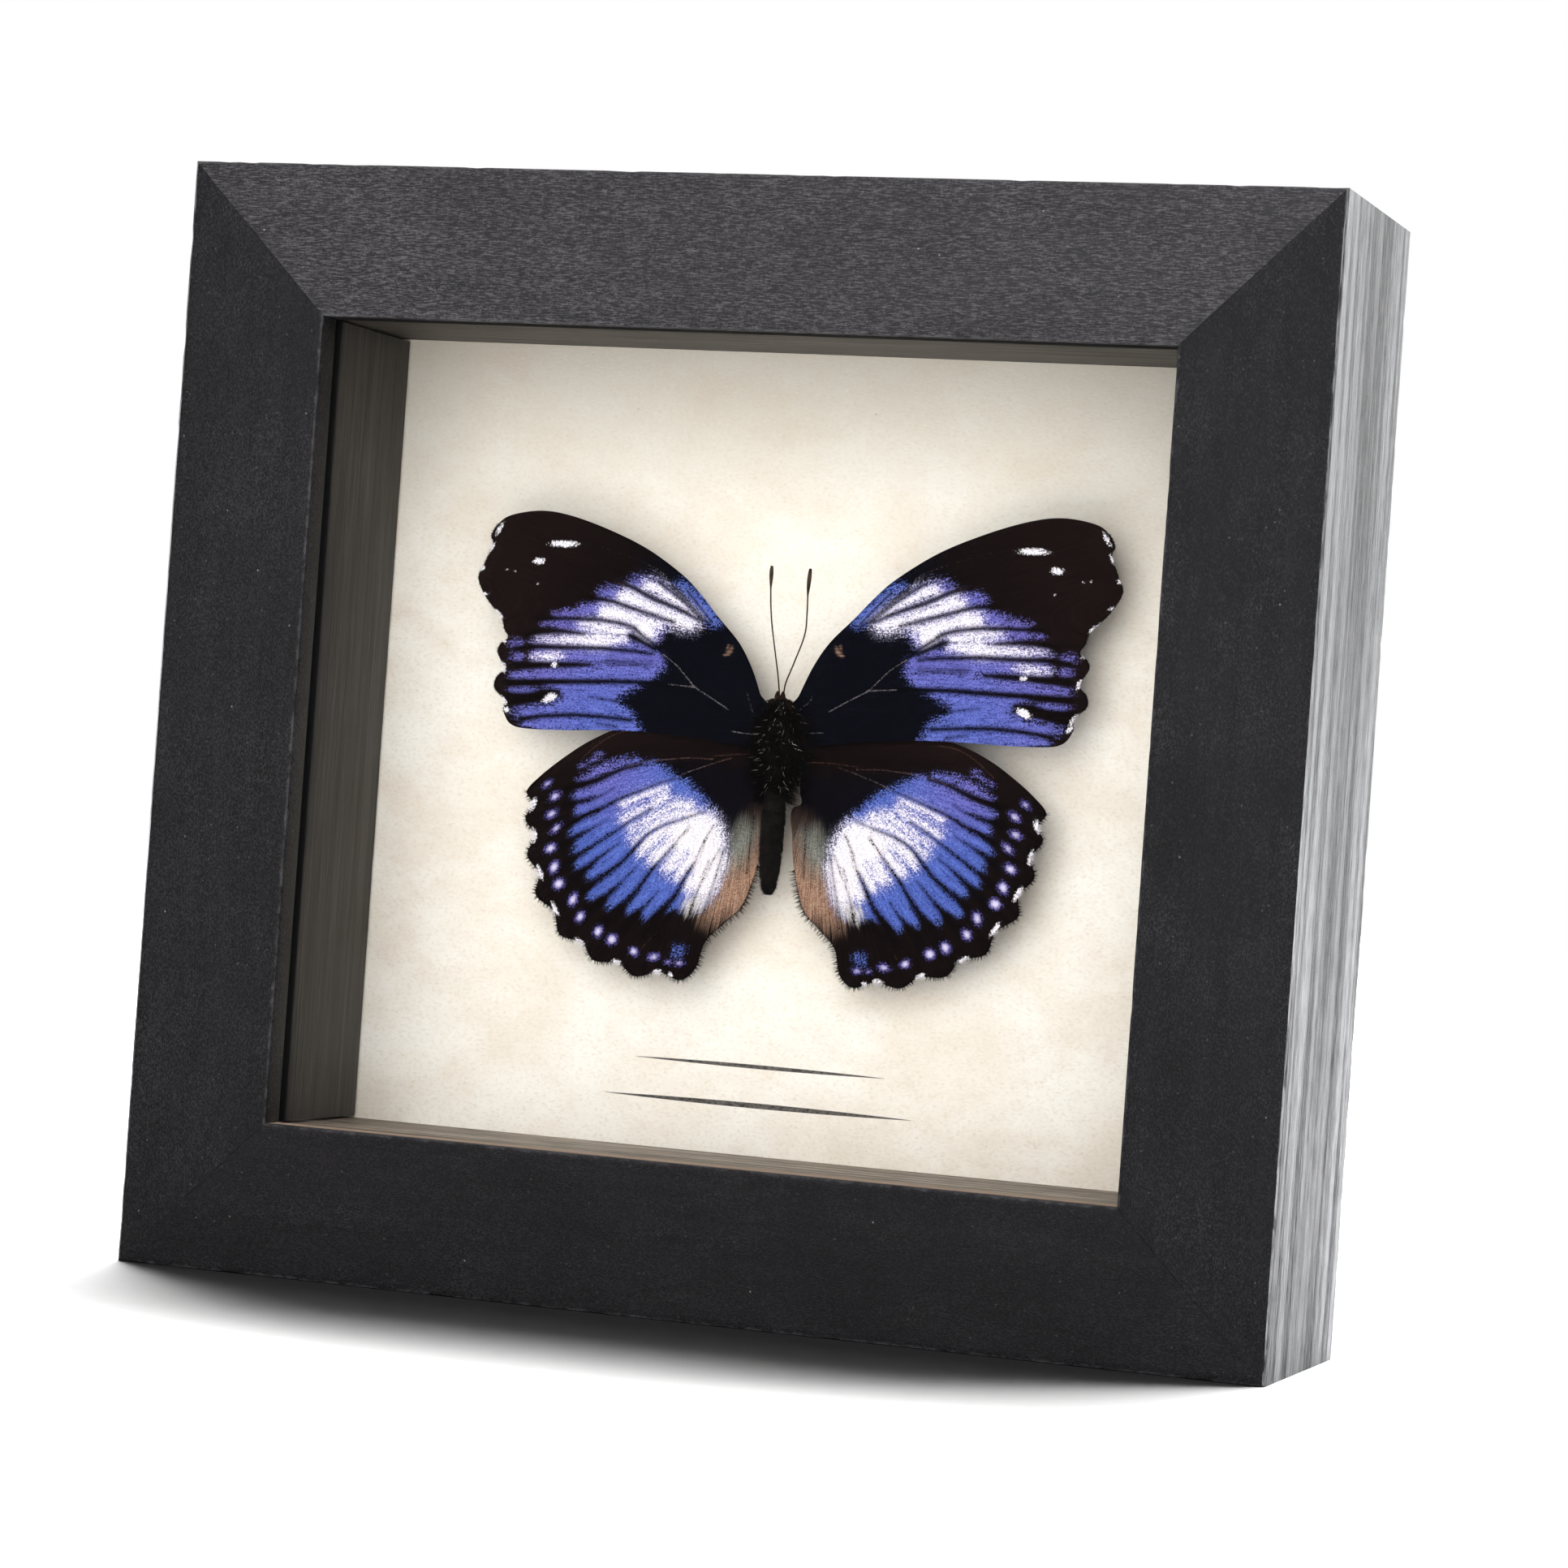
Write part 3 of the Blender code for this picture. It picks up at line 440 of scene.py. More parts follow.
def make_edge_wear():
    """Mask along the long edges of the moulding, from its distance to the frame's own faces."""
    group, t, given, result = new_group(
        "moulding edge wear", [("Reach", "Float", 0.9 * MM), ("Roughening", "Float", 0.5)],
        [("Wear", "Float")])
    place = t.node("TexCoord").outputs["Object"]
    x, y, z = t.node("SeparateXYZ", {0: place}).outputs
    across = t.absolute(x)
    up = t.absolute(t.minus(z, MIDDLE_Z))
    front = t.plus(y, HALF_DEPTH)
    back = t.minus(HALF_DEPTH, y)
    side = t.minus(HALF_WIDTH, across)
    end = t.minus(HALF_HEIGHT, up)
    inner = t.math("MAXIMUM", t.minus(across, SIGHT_X), t.minus(up, SIGHT_Z))
    nearest = None
    for first, second in ((front, side), (front, end), (back, side), (back, end), (front, inner)):
        apart = t.plus(t.absolute(first), t.absolute(second))
        nearest = apart if nearest is None else t.math("MINIMUM", nearest, apart)
    near = t.minus(1.0, t.math("DIVIDE", nearest, given["Reach"]), clamp=True)
    rough = t.noise(place, 900.0, 4.0, 0.65)
    bitten = t.times(t.minus(rough, 0.5), given["Roughening"])
    worn = t.remap(t.plus(near, t.times(bitten, 3.0)), 0.45, 0.95, smooth=True)
    t.put(result["Wear"], t.times(worn, t.math("GREATER_THAN", near, 0.02)))
    return group


def make_scale_edge():
    """Turns a signed distance in millimetres into a soft edge broken up by single wing scales."""
    group, t, given, result = new_group(
        "scale edge",
        [("Distance", "Float", 0.0), ("Soft", "Float", 0.3), ("Wobble", "Float", 0.5),
         ("Grain", "Float", 0.5)],
        [("Mask", "Float")])
    wobble = t.times(t.minus(given["Grain"], 0.5), given["Wobble"])
    level = t.math("DIVIDE", t.plus(given["Distance"], wobble), given["Soft"])
    t.put(result["Mask"], t.remap(level, -1.0, 1.0, smooth=True))
    return group


def make_metal_wear():
    """Fine rolling scratches and dull clouds on sheet steel and wire."""
    group, t, given, result = new_group(
        "metal wear", [("Vector", "Vector", None), ("Scratch Scale", "Float", 2500.0)],
        [("Scratches", "Float"), ("Cloud", "Float")])
    drawn = t.node("Mapping", {"Vector": given["Vector"], "Scale": (0.08, 1.0, 1.0)}).outputs[0]
    scratch = t.remap(t.noise(drawn, given["Scratch Scale"], 3.0, 0.6), 0.3, 0.8)
    cloud = t.noise(given["Vector"], 420.0, 4.0, 0.6)
    t.fill(result, Scratches=scratch, Cloud=t.remap(cloud, 0.35, 0.65))
    return group


WOOD_GRAIN = make_wood_grain()
FINE_DUST = make_fine_dust()
EDGE_WEAR = make_edge_wear()
SCALE_EDGE = make_scale_edge()
METAL_WEAR = make_metal_wear()


# --- materials -------------------------------------------------------------------------------
def stained_moulding(name, along_x, dark, light, fleck_glint, gloss=0.18, lip=None, comb=0.4):
    """Black stain on open-grained wood; a stile's outer face carries a painted streaked grey
    sheen, standing in for light glancing off it.
    """
    material, t, shader = new_material(name)
    stretched = t.place((0.07, 1, 1) if along_x else (1, 1, 0.07))
    lifted = t.place((comb, 1, 1) if along_x else (1, 1, comb))
    plain = t.place()
    grain = t.use(WOOD_GRAIN, Vector=stretched, Streak_Scale=620.0, Pore_Scale=2300.0)
    clouds = t.noise(plain, 55.0, 3.0, 0.6)
    base = t.mix(grain["Streak"], dark, light)
    base = t.mix(t.remap(clouds, 0.35, 0.7, 0.0, 0.5), base, dark)
    fibres = t.noise(lifted, 7800.0, 3.0, 0.6)
    tooth = t.noise(plain, 4300.0, 2.0, 0.6)
    raised = t.remap(t.plus(t.times(fibres, 0.7), t.times(tooth, 0.3)), 0.46, 0.66)
    # Raised fibres take a paler colour: partly the wood's own pale fibres, partly a painted glint
    # of light on them.
    base = t.mix(t.times(raised, t.remap(clouds, 0.3, 0.7, 0.95, 0.6)), base, fleck_glint)
    rubbed = t.noise(t.place((0.5, 1, 1) if along_x else (1, 1, 0.5)), 170.0, 5.0, 0.68)
    base = t.mix(t.times(t.remap(rubbed, 0.5, 0.74, 0.0, 0.35), raised), base, "4b494a")
    dust = t.use(FINE_DUST, Vector=plain, Spacing_Scale=1400.0, Size=0.19, Share=0.6)
    lint = t.use(FINE_DUST, Vector=plain, Spacing_Scale=400.0, Size=0.06, Share=0.3)
    base = t.mix(t.times(dust["Specks"], 0.5), base, "8c8b8a")
    base = t.mix(t.times(lint["Specks"], 0.8), base, "b9b6b0")
    wear = t.use(EDGE_WEAR, Reach=0.75 * MM, Roughening=0.5)["Wear"]
    base = t.mix(t.times(wear, 0.30), base, "68676b")
    x, y, z = t.node("SeparateXYZ", {0: plain}).outputs
    # Painted sheen: a stile's outer face gets a streaked grey colour standing in for light
    # glancing off it, darker across the middle of its depth and paler towards the foot.
    if not along_x:
        bands = t.noise(t.place((1, 1, 0.035)), 420.0, 4.0, 0.6)
        combed = t.noise(t.place((1, 1, 0.06)), 4200.0, 3.0, 0.65)
        sheen_streaks = t.plus(t.times(t.remap(bands, 0.41, 0.60), 0.5),
                        t.times(t.remap(combed, 0.38, 0.62), 0.5))
        flank = t.math("GREATER_THAN", t.absolute(x), HALF_WIDTH - 0.28 * MM)
        worn = t.remap(t.absolute(t.minus(y, 0.5 * MM)), 3 * MM, 13 * MM, 0.72, 1.0)
        sheen_streaks = t.times(sheen_streaks, worn)
        pale = t.mix(t.remap(z, 95 * MM, 15 * MM), "9d9ea0", "bfc0c3")
        base = t.mix(flank, base, t.mix(sheen_streaks, "111112", pale))
    rough = t.plus(t.remap(raised, 0.0, 1.0, 0.52, 0.38), t.times(wear, 0.12))
    # Painted light on the inner face of the front rebate: near-black painted shade on the top
    # rail, pale tan painted light reflected from the card on the bottom rail.
    if lip:
        up = t.absolute(t.minus(z, MIDDLE_Z))
        inside = t.math("LESS_THAN", up, SIGHT_Z + 0.3 * MM)
        behind = t.remap(y, -HALF_DEPTH + 0.5 * MM, -HALF_DEPTH + 1.2 * MM)
        lip_inner_face = t.times(t.times(inside, behind), 0.9)
        base = t.mix(lip_inner_face, base, lip)
        rough = t.plus(rough, t.times(lip_inner_face, 0.6), clamp=True)
    t.fill(shader.inputs, Base_Color=base, Roughness=rough, Specular_IOR_Level=gloss)
    wavy = t.bump(raised, 0.06 * MM, 0.8)
    t.put(shader.inputs["Normal"], t.bump(grain["Height"], 0.02 * MM, 0.7, wavy))
    return material


def stained_spacer(name, along_x, dark="26221d", light="463f36", gap="040404"):
    """Thin brown-black stain, with saw marks left along the strip."""
    material, t, shader = new_material(name)
    stretched = t.place((0.04, 1, 1) if along_x else (1, 1, 0.04))
    grain = t.use(WOOD_GRAIN, Vector=stretched, Streak_Scale=900.0, Pore_Scale=2600.0)
    base = t.mix(grain["Streak"], dark, light)
    sawn = t.noise(t.place((0.012, 1, 1) if along_x else (1, 1, 0.012)), 1500.0, 2.0, 0.55)
    base = t.mix(t.remap(sawn, 0.50, 0.58, 0.0, 0.8), base, "1d1915")
    patches = t.noise(t.place(), 160.0, 3.0, 0.6)
    base = t.mix(t.remap(patches, 0.45, 0.75, 0.0, 0.6), base, "26221e")
    dust = t.use(FINE_DUST, Vector=t.place(), Spacing_Scale=900.0, Size=0.12, Share=0.2)
    base = t.mix(t.times(dust["Specks"], 0.6), base, "a59c8c")
    # Painted shade: the strip's front edge, in the dark slot behind the glass, takes the gap
    # colour, near black unless a strip is given another.
    depth = t.node("SeparateXYZ", {0: t.place()}).outputs[1]
    gap_painted_shade = t.remap(depth, SPACER_FRONT + 0.8 * MM, SPACER_FRONT + 0.3 * MM)
    t.fill(shader.inputs, Base_Color=t.mix(gap_painted_shade, base, gap), Specular_IOR_Level=0.4,
           Roughness=t.remap(grain["Streak"], 0, 1, 0.62, 0.48),
           Normal=t.bump(grain["Height"], 0.06 * MM, 0.9))
    return material


def clear_glass():
    """A clean pane; lamps and bounced light pass straight through it."""
    material, t, shader = new_material("clear glass")
    t.fill(shader.inputs, Base_Color=(0.985, 0.995, 0.99, 1), Transmission_Weight=1.0, IOR=1.5)
    smears = t.noise(t.place((1, 1, 0.5)), 60.0, 3.0, 0.6)
    t.put(shader.inputs["Roughness"], t.remap(smears, 0.55, 0.8, 0.0, 0.012))
    open_way = t.node("BsdfTransparent")
    rays = t.node("LightPath").outputs
    spread = t.node("MixShader", {0: rays["Is Diffuse Ray"], 1: shader.outputs[0],
                                  2: open_way.outputs[0]})
    lamps = t.node("MixShader", {0: rays["Is Shadow Ray"], 1: spread.outputs[0],
                                 2: open_way.outputs[0]})
    out = material.node_tree.nodes["Material Output"]
    t.put(out.inputs["Surface"], lamps.outputs[0])
    return material


# Height from the middle of the card, half length and half weight of each rule, in millimetres.
INK_RULES = ((-40.2, 17.5, 0.26), (-45.2, 21.5, 0.34))


def cream_card():
    """Mottled cream paper with painted shade: a painted shadow greys its top and a fainter painted
    shade dims its middle. Two plain rules sit under the insect.
    """
    material, t, shader = new_material("cream card")
    plain = t.place()
    x, y, z = t.node("SeparateXYZ", {0: plain}).outputs
    clouds = t.noise(t.place((0.7, 1, 1)), 130.0, 4.0, 0.62)
    fibres = t.noise(t.place((0.55, 1, 1), (0, 0.3, 0)), 3500.0, 4.0, 0.65)
    base = t.mix(t.remap(clouds, 0.36, 0.66), "f0e6d8", "fffaf1")
    # Painted shade: a painted shadow greys the paper towards its top, and a fainter painted shade
    # dims its middle, away from the sides and foot; the clouds mottle it.
    edge_x = t.remap(t.absolute(x), 22 * MM, 52 * MM, smooth=True)
    top_shadow_mask = t.remap(t.minus(z, MIDDLE_Z), 12 * MM, 60 * MM, smooth=True)
    foot_z = t.remap(t.minus(MIDDLE_Z, z), 26 * MM, 52 * MM, smooth=True)
    middle_shade_mask = t.minus(1.0, t.math("MAXIMUM", edge_x, foot_z))
    shade = t.math("MAXIMUM", top_shadow_mask, t.times(middle_shade_mask, 0.14))
    cloudy = t.plus(shade, t.remap(clouds, 0.3, 0.7, -0.12, 0.12))
    base = t.mix(t.times(cloudy, 0.46, clamp=True), base, "a2957e")
    base = t.mix(t.remap(fibres, 0.50, 0.74, 0.0, 0.5), base, "d3c3aa")
    base = t.mix(t.remap(fibres, 0.40, 0.24, 0.0, 0.35), base, "fffaf0")
    dust = t.use(FINE_DUST, Vector=plain, Spacing_Scale=330.0, Size=0.05, Share=0.3)
    base = t.mix(t.times(dust["Specks"], 0.8), base, "8a7b66")
    ink = None
    for height, half, weight in INK_RULES:
        along = t.math("DIVIDE", t.absolute(t.plus(x, 0.3 * MM)), half * MM)
        swell = t.minus(1.0, t.math("POWER", along, 2.0))
        reach = t.times(swell, weight * MM)
        off = t.absolute(t.minus(z, MIDDLE_Z + height * MM))
        rule = t.remap(t.minus(reach, off), -0.03 * MM, 0.03 * MM)
        rule = t.times(rule, t.math("LESS_THAN", along, 0.97))
        ink = rule if ink is None else t.math("MAXIMUM", ink, rule)
    ink = t.times(ink, t.remap(fibres, 0.35, 0.7, 1.0, 0.8))
    t.fill(shader.inputs, Base_Color=t.mix(ink, base, "2a2625"),
           Roughness=t.remap(fibres, 0.3, 0.7, 0.82, 0.95), Specular_IOR_Level=0.25,
           Normal=t.bump(fibres, 0.05 * MM, 0.7))
    return material


def brown_board():
    """Pressed fibre board: flecked brown, with a faint wire mesh from its press."""
    material, t, shader = new_material("brown board")
    plain = t.place()
    flecks = t.noise(t.place((0.5, 1, 1), (0, 0.6, 0)), 1500.0, 5.0, 0.7)
    clouds = t.noise(plain, 90.0, 3.0, 0.6)
    x, y, z = t.node("SeparateXYZ", {0: plain}).outputs
    pitch = 2 * math.pi / (0.9 * MM)
    weave = t.times(t.math("SINE", t.times(x, pitch)), t.math("SINE", t.times(z, pitch)))
    base = t.mix(t.remap(flecks, 0.3, 0.7), "533b25", "7d5f3f")
    base = t.mix(t.remap(clouds, 0.4, 0.7, 0.0, 0.4), base, "644930")
    t.fill(shader.inputs, Base_Color=base, Roughness=t.remap(flecks, 0.3, 0.7, 0.7, 0.9))
    fine = t.bump(weave, 0.05 * MM, 0.6)
    t.put(shader.inputs["Normal"], t.bump(flecks, 0.05 * MM, 0.8, fine))
    return material


def worn_steel(name, bright, dull, stain, low, high):
    material, t, shader = new_material(name)
    plain = t.place()
    marks = t.use(METAL_WEAR, Vector=plain, Scratch_Scale=8500.0)
    base = t.mix(marks["Scratches"], dull, bright)
    base = t.mix(t.remap(marks["Cloud"], 0.55, 1.0, 0.0, 0.35), base, stain)
    t.fill(shader.inputs, Base_Color=base, Metallic=1.0,
           Roughness=t.remap(marks["Cloud"], 0, 1, low, high),
           Normal=t.bump(marks["Scratches"], 0.01 * MM, 0.5))
    return material


def foam_block():
    material, t, shader = new_material("cream foam")
    pores = t.cells(t.place(), 2600.0, "Distance")
    base = t.mix(t.remap(pores, 0.1, 0.6), "8d8574", "ddd6c4")
    t.fill(shader.inputs, Base_Color=base, Roughness=t.remap(pores, 0, 0.6, 1.0, 0.85),
           Normal=t.bump(pores, 0.12 * MM, 0.8))
    return material


def insect_skin(name, dark, light, gloss):
    """Dark chitin with small pits; pale scales sit where the pale attribute says."""
    material, t, shader = new_material(name)
    pits = t.cells(t.place(), 5200.0, "Distance")
    clouds = t.noise(t.place(), 700.0, 4.0, 0.6)
    base = t.mix(t.remap(clouds, 0.35, 0.7), dark, light)
    base = t.mix(t.attribute("pale"), base, "e9e4da")
    t.fill(shader.inputs, Base_Color=base, Roughness=t.remap(pits, 0.0, 0.7, gloss + 0.2, gloss),
           Specular_IOR_Level=0.12, Normal=t.bump(pits, 0.03 * MM, 0.7))
    return material


def wing_scales():
    """Rows of tiny scales: brown-black ground, navy base, blue and frosted fields, pale marks."""
    material, t, shader = new_material("wing scales")
    flat = t.place((1, 0, 1))
    one = t.node("SeparateColor", {0: t.cells(flat, 7600.0)}).outputs
    clump = t.remap(t.noise(flat, 4600.0, 3.0, 0.6), 0.3, 0.7)
    grain = t.remap(t.plus(t.times(one[0], 0.6), t.times(clump, 0.4)), 0.15, 0.85)
    flow = t.node("Attribute", attribute_name="flow").outputs["Vector"]
    combed = t.remap(t.noise(flow, 1.8, 3.0, 0.6), 0.3, 0.7)
    hair = t.node("Mapping", {"Vector": flow, "Scale": (0.6, 3.0, 1.0)}).outputs[0]
    hairs = t.remap(t.noise(hair, 1.0, 3.0, 0.65), 0.3, 0.7)
    speckled = t.plus(t.times(grain, 0.62), t.times(combed, 0.38))
    brushed = t.plus(t.times(grain, 0.55), t.times(combed, 0.45))
    level = {name: t.attribute(name) for name in
             ("blue", "frost", "dark", "spot", "pale", "warm", "grey", "cream", "violet", "navy",
              "dusk", "dot", "bronze", "veil")}

    def edge(name, soft, wobble, by=grain):
        return t.use(SCALE_EDGE, Distance=level[name], Soft=soft, Wobble=wobble, Grain=by)["Mask"]

    ground = t.mix(hairs, "0a0505", "160c0b")
    ground = t.mix(t.times(level["bronze"], t.remap(hairs, 0, 1, 0.5, 1.0)), ground, "201412")
    base = t.mix(level["navy"], ground, t.mix(grain, "030307", "080a16"))
    brown = edge("veil", 1.6, 1.5, hairs)
    base = t.mix(brown, base, t.mix(hairs, "1d1614", "4a3a34"))
    base = t.mix(edge("grey", 2.2, 1.6, hairs), base, t.mix(speckled, "484740", "989a91"))
    warm = edge("warm", 2.4, 2.0, hairs)
    base = t.mix(warm, base, t.mix(t.remap(t.plus(hairs, grain), 0.3, 1.7), "664636", "b5937d"))
    azure = t.mix(speckled, "182567", "627dd2")
    purple = t.mix(speckled, "2a2868", "827cce")
    blue = edge("blue", 0.60, 2.1, speckled)
    base = t.mix(blue, base, t.mix(level["violet"], azure, purple))
    base = t.mix(edge("cream", 0.9, 1.2, hairs), base, t.mix(grain, "a39c9c", "dcd6d2"))
    haze = t.times(edge("frost", 1.6, 1.8, brushed), 0.75)
    base = t.mix(haze, base, t.mix(grain, "7f7bbb", "c3bddc"))
    frosty = t.mix(grain, "cbc2cd", "fff8f8")
    base = t.mix(edge("frost", 0.85, 2.3, brushed), base, frosty)
    dusk = t.times(edge("dusk", 0.35, 1.3), 0.8)
    base = t.mix(dusk, base, "0d0a16")
    base = t.mix(edge("dark", 0.28, 1.00, speckled), base,
                 t.mix(level["navy"], "0c0607", "04050b"))
    pale = t.times(edge("pale", 0.06, 0.14, one[1]), 0.3)
    base = t.mix(pale, base, t.mix(level["navy"], "6d4c3e", "a79d9f"))
    dot = edge("dot", 0.24, 0.60)
    base = t.mix(dot, base, t.mix(t.remap(level["dot"], 0.0, 0.42), "5b5599", "cfc6de"))
    base = t.mix(edge("spot", 0.10, 0.30), base, t.mix(grain, "b9b0c0", "fffbfd"))
    t.fill(shader.inputs, Base_Color=base, Roughness=t.remap(grain, 0, 1, 0.6, 0.85),
           Specular_IOR_Level=0.03)
    rows = t.bump(one[2], 0.02 * MM, 0.5)
    t.put(shader.inputs["Normal"], t.bump(hairs, 0.05 * MM, 0.5, rows))
    return material


def studio_paper():
    """Pale paper that glows away from the frame, so that it has no end, and is dim in mirrors."""
    material, t, shader = new_material("pale studio paper")
    tooth = t.noise(t.place(), 300.0, 3.0, 0.6)
    mirrored = t.node("LightPath").outputs["Is Glossy Ray"]
    away = t.node("VectorMath", {0: t.place((1, 1, 0))}, operation="LENGTH").outputs["Value"]
    calm = t.minus(1.0, t.times(mirrored, 0.85))
    glow = t.times(t.remap(away, 0.20, 0.60, smooth=True), calm)
    t.fill(shader.inputs, Base_Color=t.mix(mirrored, t.mix(tooth, "9c9c9c", "a2a2a2"), "3c3c3c"),
           Roughness=0.9, Specular_IOR_Level=0.1,
           Emission_Color=t.mix(glow, (0, 0, 0, 1), (1, 1, 1, 1)), Emission_Strength=1.2)
    return material


# --- modelling helpers -----------------------------------------------------------------------
def deselect():
    if bpy.context.mode != "OBJECT":
        bpy.ops.object.mode_set(mode="OBJECT")
    bpy.ops.object.select_all(action="DESELECT")


def take(piece):
    """Makes one piece the only selected one, and the active one."""
    deselect()
    piece.select_set(True)
    bpy.context.view_layer.objects.active = piece


def edit(piece):
    take(piece)
    bpy.ops.object.mode_set(mode="EDIT")


def choose(piece, edges=None, faces=None):
    """Selects only the edges or faces that a test accepts, in edit mode."""
    bm = bmesh.from_edit_mesh(piece.data)
    bpy.ops.mesh.select_mode(type="FACE" if faces else "EDGE")
    bpy.ops.mesh.select_all(action="DESELECT")
    for item in (bm.faces if faces else bm.edges):
        item.select_set((faces or edges)(item))
    bm.select_flush_mode()
    bmesh.update_edit_mesh(piece.data)


def settle(piece):
    """Leaves edit mode and puts the piece's place, turn and size into its mesh."""
    take(piece)
    bpy.ops.object.transform_apply(location=True, rotation=True, scale=True)
    return piece


def new_block(name, low, high):
    """A block between two corners, as the start of a piece."""
    deselect()
    middle = (Vector(low) + Vector(high)) / 2
    bpy.ops.mesh.primitive_cube_add(size=1, location=middle)
    piece = bpy.context.active_object
    piece.name = piece.data.name = name
    piece.scale = Vector(high) - Vector(low)
    return settle(piece)


def add_piece(piece, node, material):
    """Rides the piece on the root body, in place of a CAD node where one is named."""
    if node:
        piece.name = piece.data.name = node + "_shape"
    piece.data.materials.clear()
    piece.data.materials.append(material)
    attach(piece, "root")
    if node:
        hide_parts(node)
    return piece


def link_object(name, data):
    made = bpy.data.objects.new(name, data)
    bpy.context.collection.objects.link(made)
    return made


def smooth_by_angle(piece, degrees=30):
    take(piece)
    bpy.ops.object.shade_smooth_by_angle(angle=math.radians(degrees))


def is_along(edge, axis):
    span = edge.verts[1].co - edge.verts[0].co
    return span.length > 0 and abs(span[axis]) > 0.9 * span.length


def cut_out(piece, low, high):
    """Cuts a box-shaped housing with an applied Boolean."""
    cutter = new_block("cutter", low, high)
    take(piece)
    cut = piece.modifiers.new("housing", "BOOLEAN")
    cut.operation, cut.object, cut.solver = ("DIFFERENCE", cutter, "EXACT")
    bpy.ops.object.modifier_apply(modifier=cut.name)
    bpy.data.meshes.remove(cutter.data)


# --- moulding --------------------------------------------------------------------------------
RAIL_CUTS = 130
EDGE_ROUND = 0.30 * MM
EDGE_BAND = 0.9 * MM            # width of the strip that wear has eaten into
JOINT = 0.03 * MM


def build_rail(name, side, material, open_joint=(0.0, 0.0)):
    """One mitred length of rebated moulding, drawn as the bottom rail and turned to its side."""
    lying = side in ("top", "bottom")
    across, up = (HALF_WIDTH, HALF_HEIGHT) if lying else (HALF_HEIGHT, HALF_WIDTH)
    wall = MOULDING - LIP_WIDTH
    piece = new_block(name, (-across, -HALF_DEPTH, -up), (across, HALF_DEPTH, wall - up))
    edit(piece)
    lip_back = -HALF_DEPTH + LIP_DEPTH
    bpy.ops.mesh.select_all(action="SELECT")
    bpy.ops.mesh.bisect(plane_co=(0, lip_back, 0), plane_no=(0, 1, 0))
    choose(piece, faces=lambda f: f.normal.z > 0.9 and f.calc_center_median().y < lip_back)
    bpy.ops.mesh.extrude_region_move(TRANSFORM_OT_translate={"value": (0, 0, LIP_WIDTH)})
    for end, opening in zip((-1, 1), open_joint):
        lean = math.radians(45 - opening)
        corner = Vector((end * (across - MOULDING), 0, MOULDING - up - JOINT))
        bpy.ops.mesh.select_all(action="SELECT")
        bpy.ops.mesh.bisect(plane_co=corner, plane_no=(end * math.cos(lean), 0, math.sin(lean)),
                            clear_outer=True, use_fill=True)
    square = [(-HALF_DEPTH, -up), (-HALF_DEPTH, MOULDING - up), (lip_back, MOULDING - up),
              (HALF_DEPTH, -up), (HALF_DEPTH, wall - up)]
    choose(piece, edges=lambda e: is_along(e, 0) and any(
        abs(e.verts[0].co.y - y) + abs(e.verts[0].co.z - z) < 0.05 * MM for y, z in square))
    bpy.ops.mesh.bevel(offset=EDGE_ROUND, segments=2, affect="EDGES")
    for axis, place in ((1, -HALF_DEPTH + EDGE_BAND), (1, HALF_DEPTH - EDGE_BAND),
                        (2, EDGE_BAND - up), (2, MOULDING - up - EDGE_BAND)):
        bpy.ops.mesh.select_all(action="SELECT")
        bpy.ops.mesh.bisect(plane_co=[place if k == axis else 0 for k in range(3)],
                            plane_no=[float(k == axis) for k in range(3)])
    choose(piece, edges=lambda e: is_along(e, 0))
    bpy.ops.mesh.subdivide(number_cuts=RAIL_CUTS)
    bpy.ops.object.mode_set(mode="OBJECT")
    roughen_rail(piece, across, up, sum(map(ord, side)))
    turn = {"bottom": 0, "right": -90, "top": 180, "left": 90}[side]
    piece.rotation_euler.y = math.radians(turn)
    piece.location.z = MIDDLE_Z
    settle(piece)
    return add_piece(piece, name, material)


def roughen_rail(piece, across, up, seed):
    """Small dents and chips along the edges, only ever inwards, deeper near the mitred corners."""
    for vert in piece.data.vertices:
        x, y, z = vert.co
        place = Vector((x * 420, y * 300, z * 300 + seed))
        dent = max(noise.noise(place) - 0.2, 0.0) * 0.16 * MM
        chip = max(noise.noise(place * 2.6 + Vector((9, 3, 1))) - 0.42, 0.0) * 0.8 * MM
        corner = min(max((abs(x) - across + 8 * MM) / (8 * MM), 0.0), 1.0)
        inward = dent + chip * (0.4 + 1.6 * corner)
        near_front = y < -HALF_DEPTH + 1.5 * EDGE_ROUND
        near_outside = z < -up + 1.5 * EDGE_ROUND
        near_sight = z > MOULDING - up - 1.5 * EDGE_ROUND
        if near_front and (near_outside or near_sight):
            vert.co.y += inward
            vert.co.z += inward if near_outside else -inward * 0.6
        elif near_outside and y > HALF_DEPTH - 1.5 * EDGE_ROUND:
            vert.co.z += inward
            vert.co.y -= inward


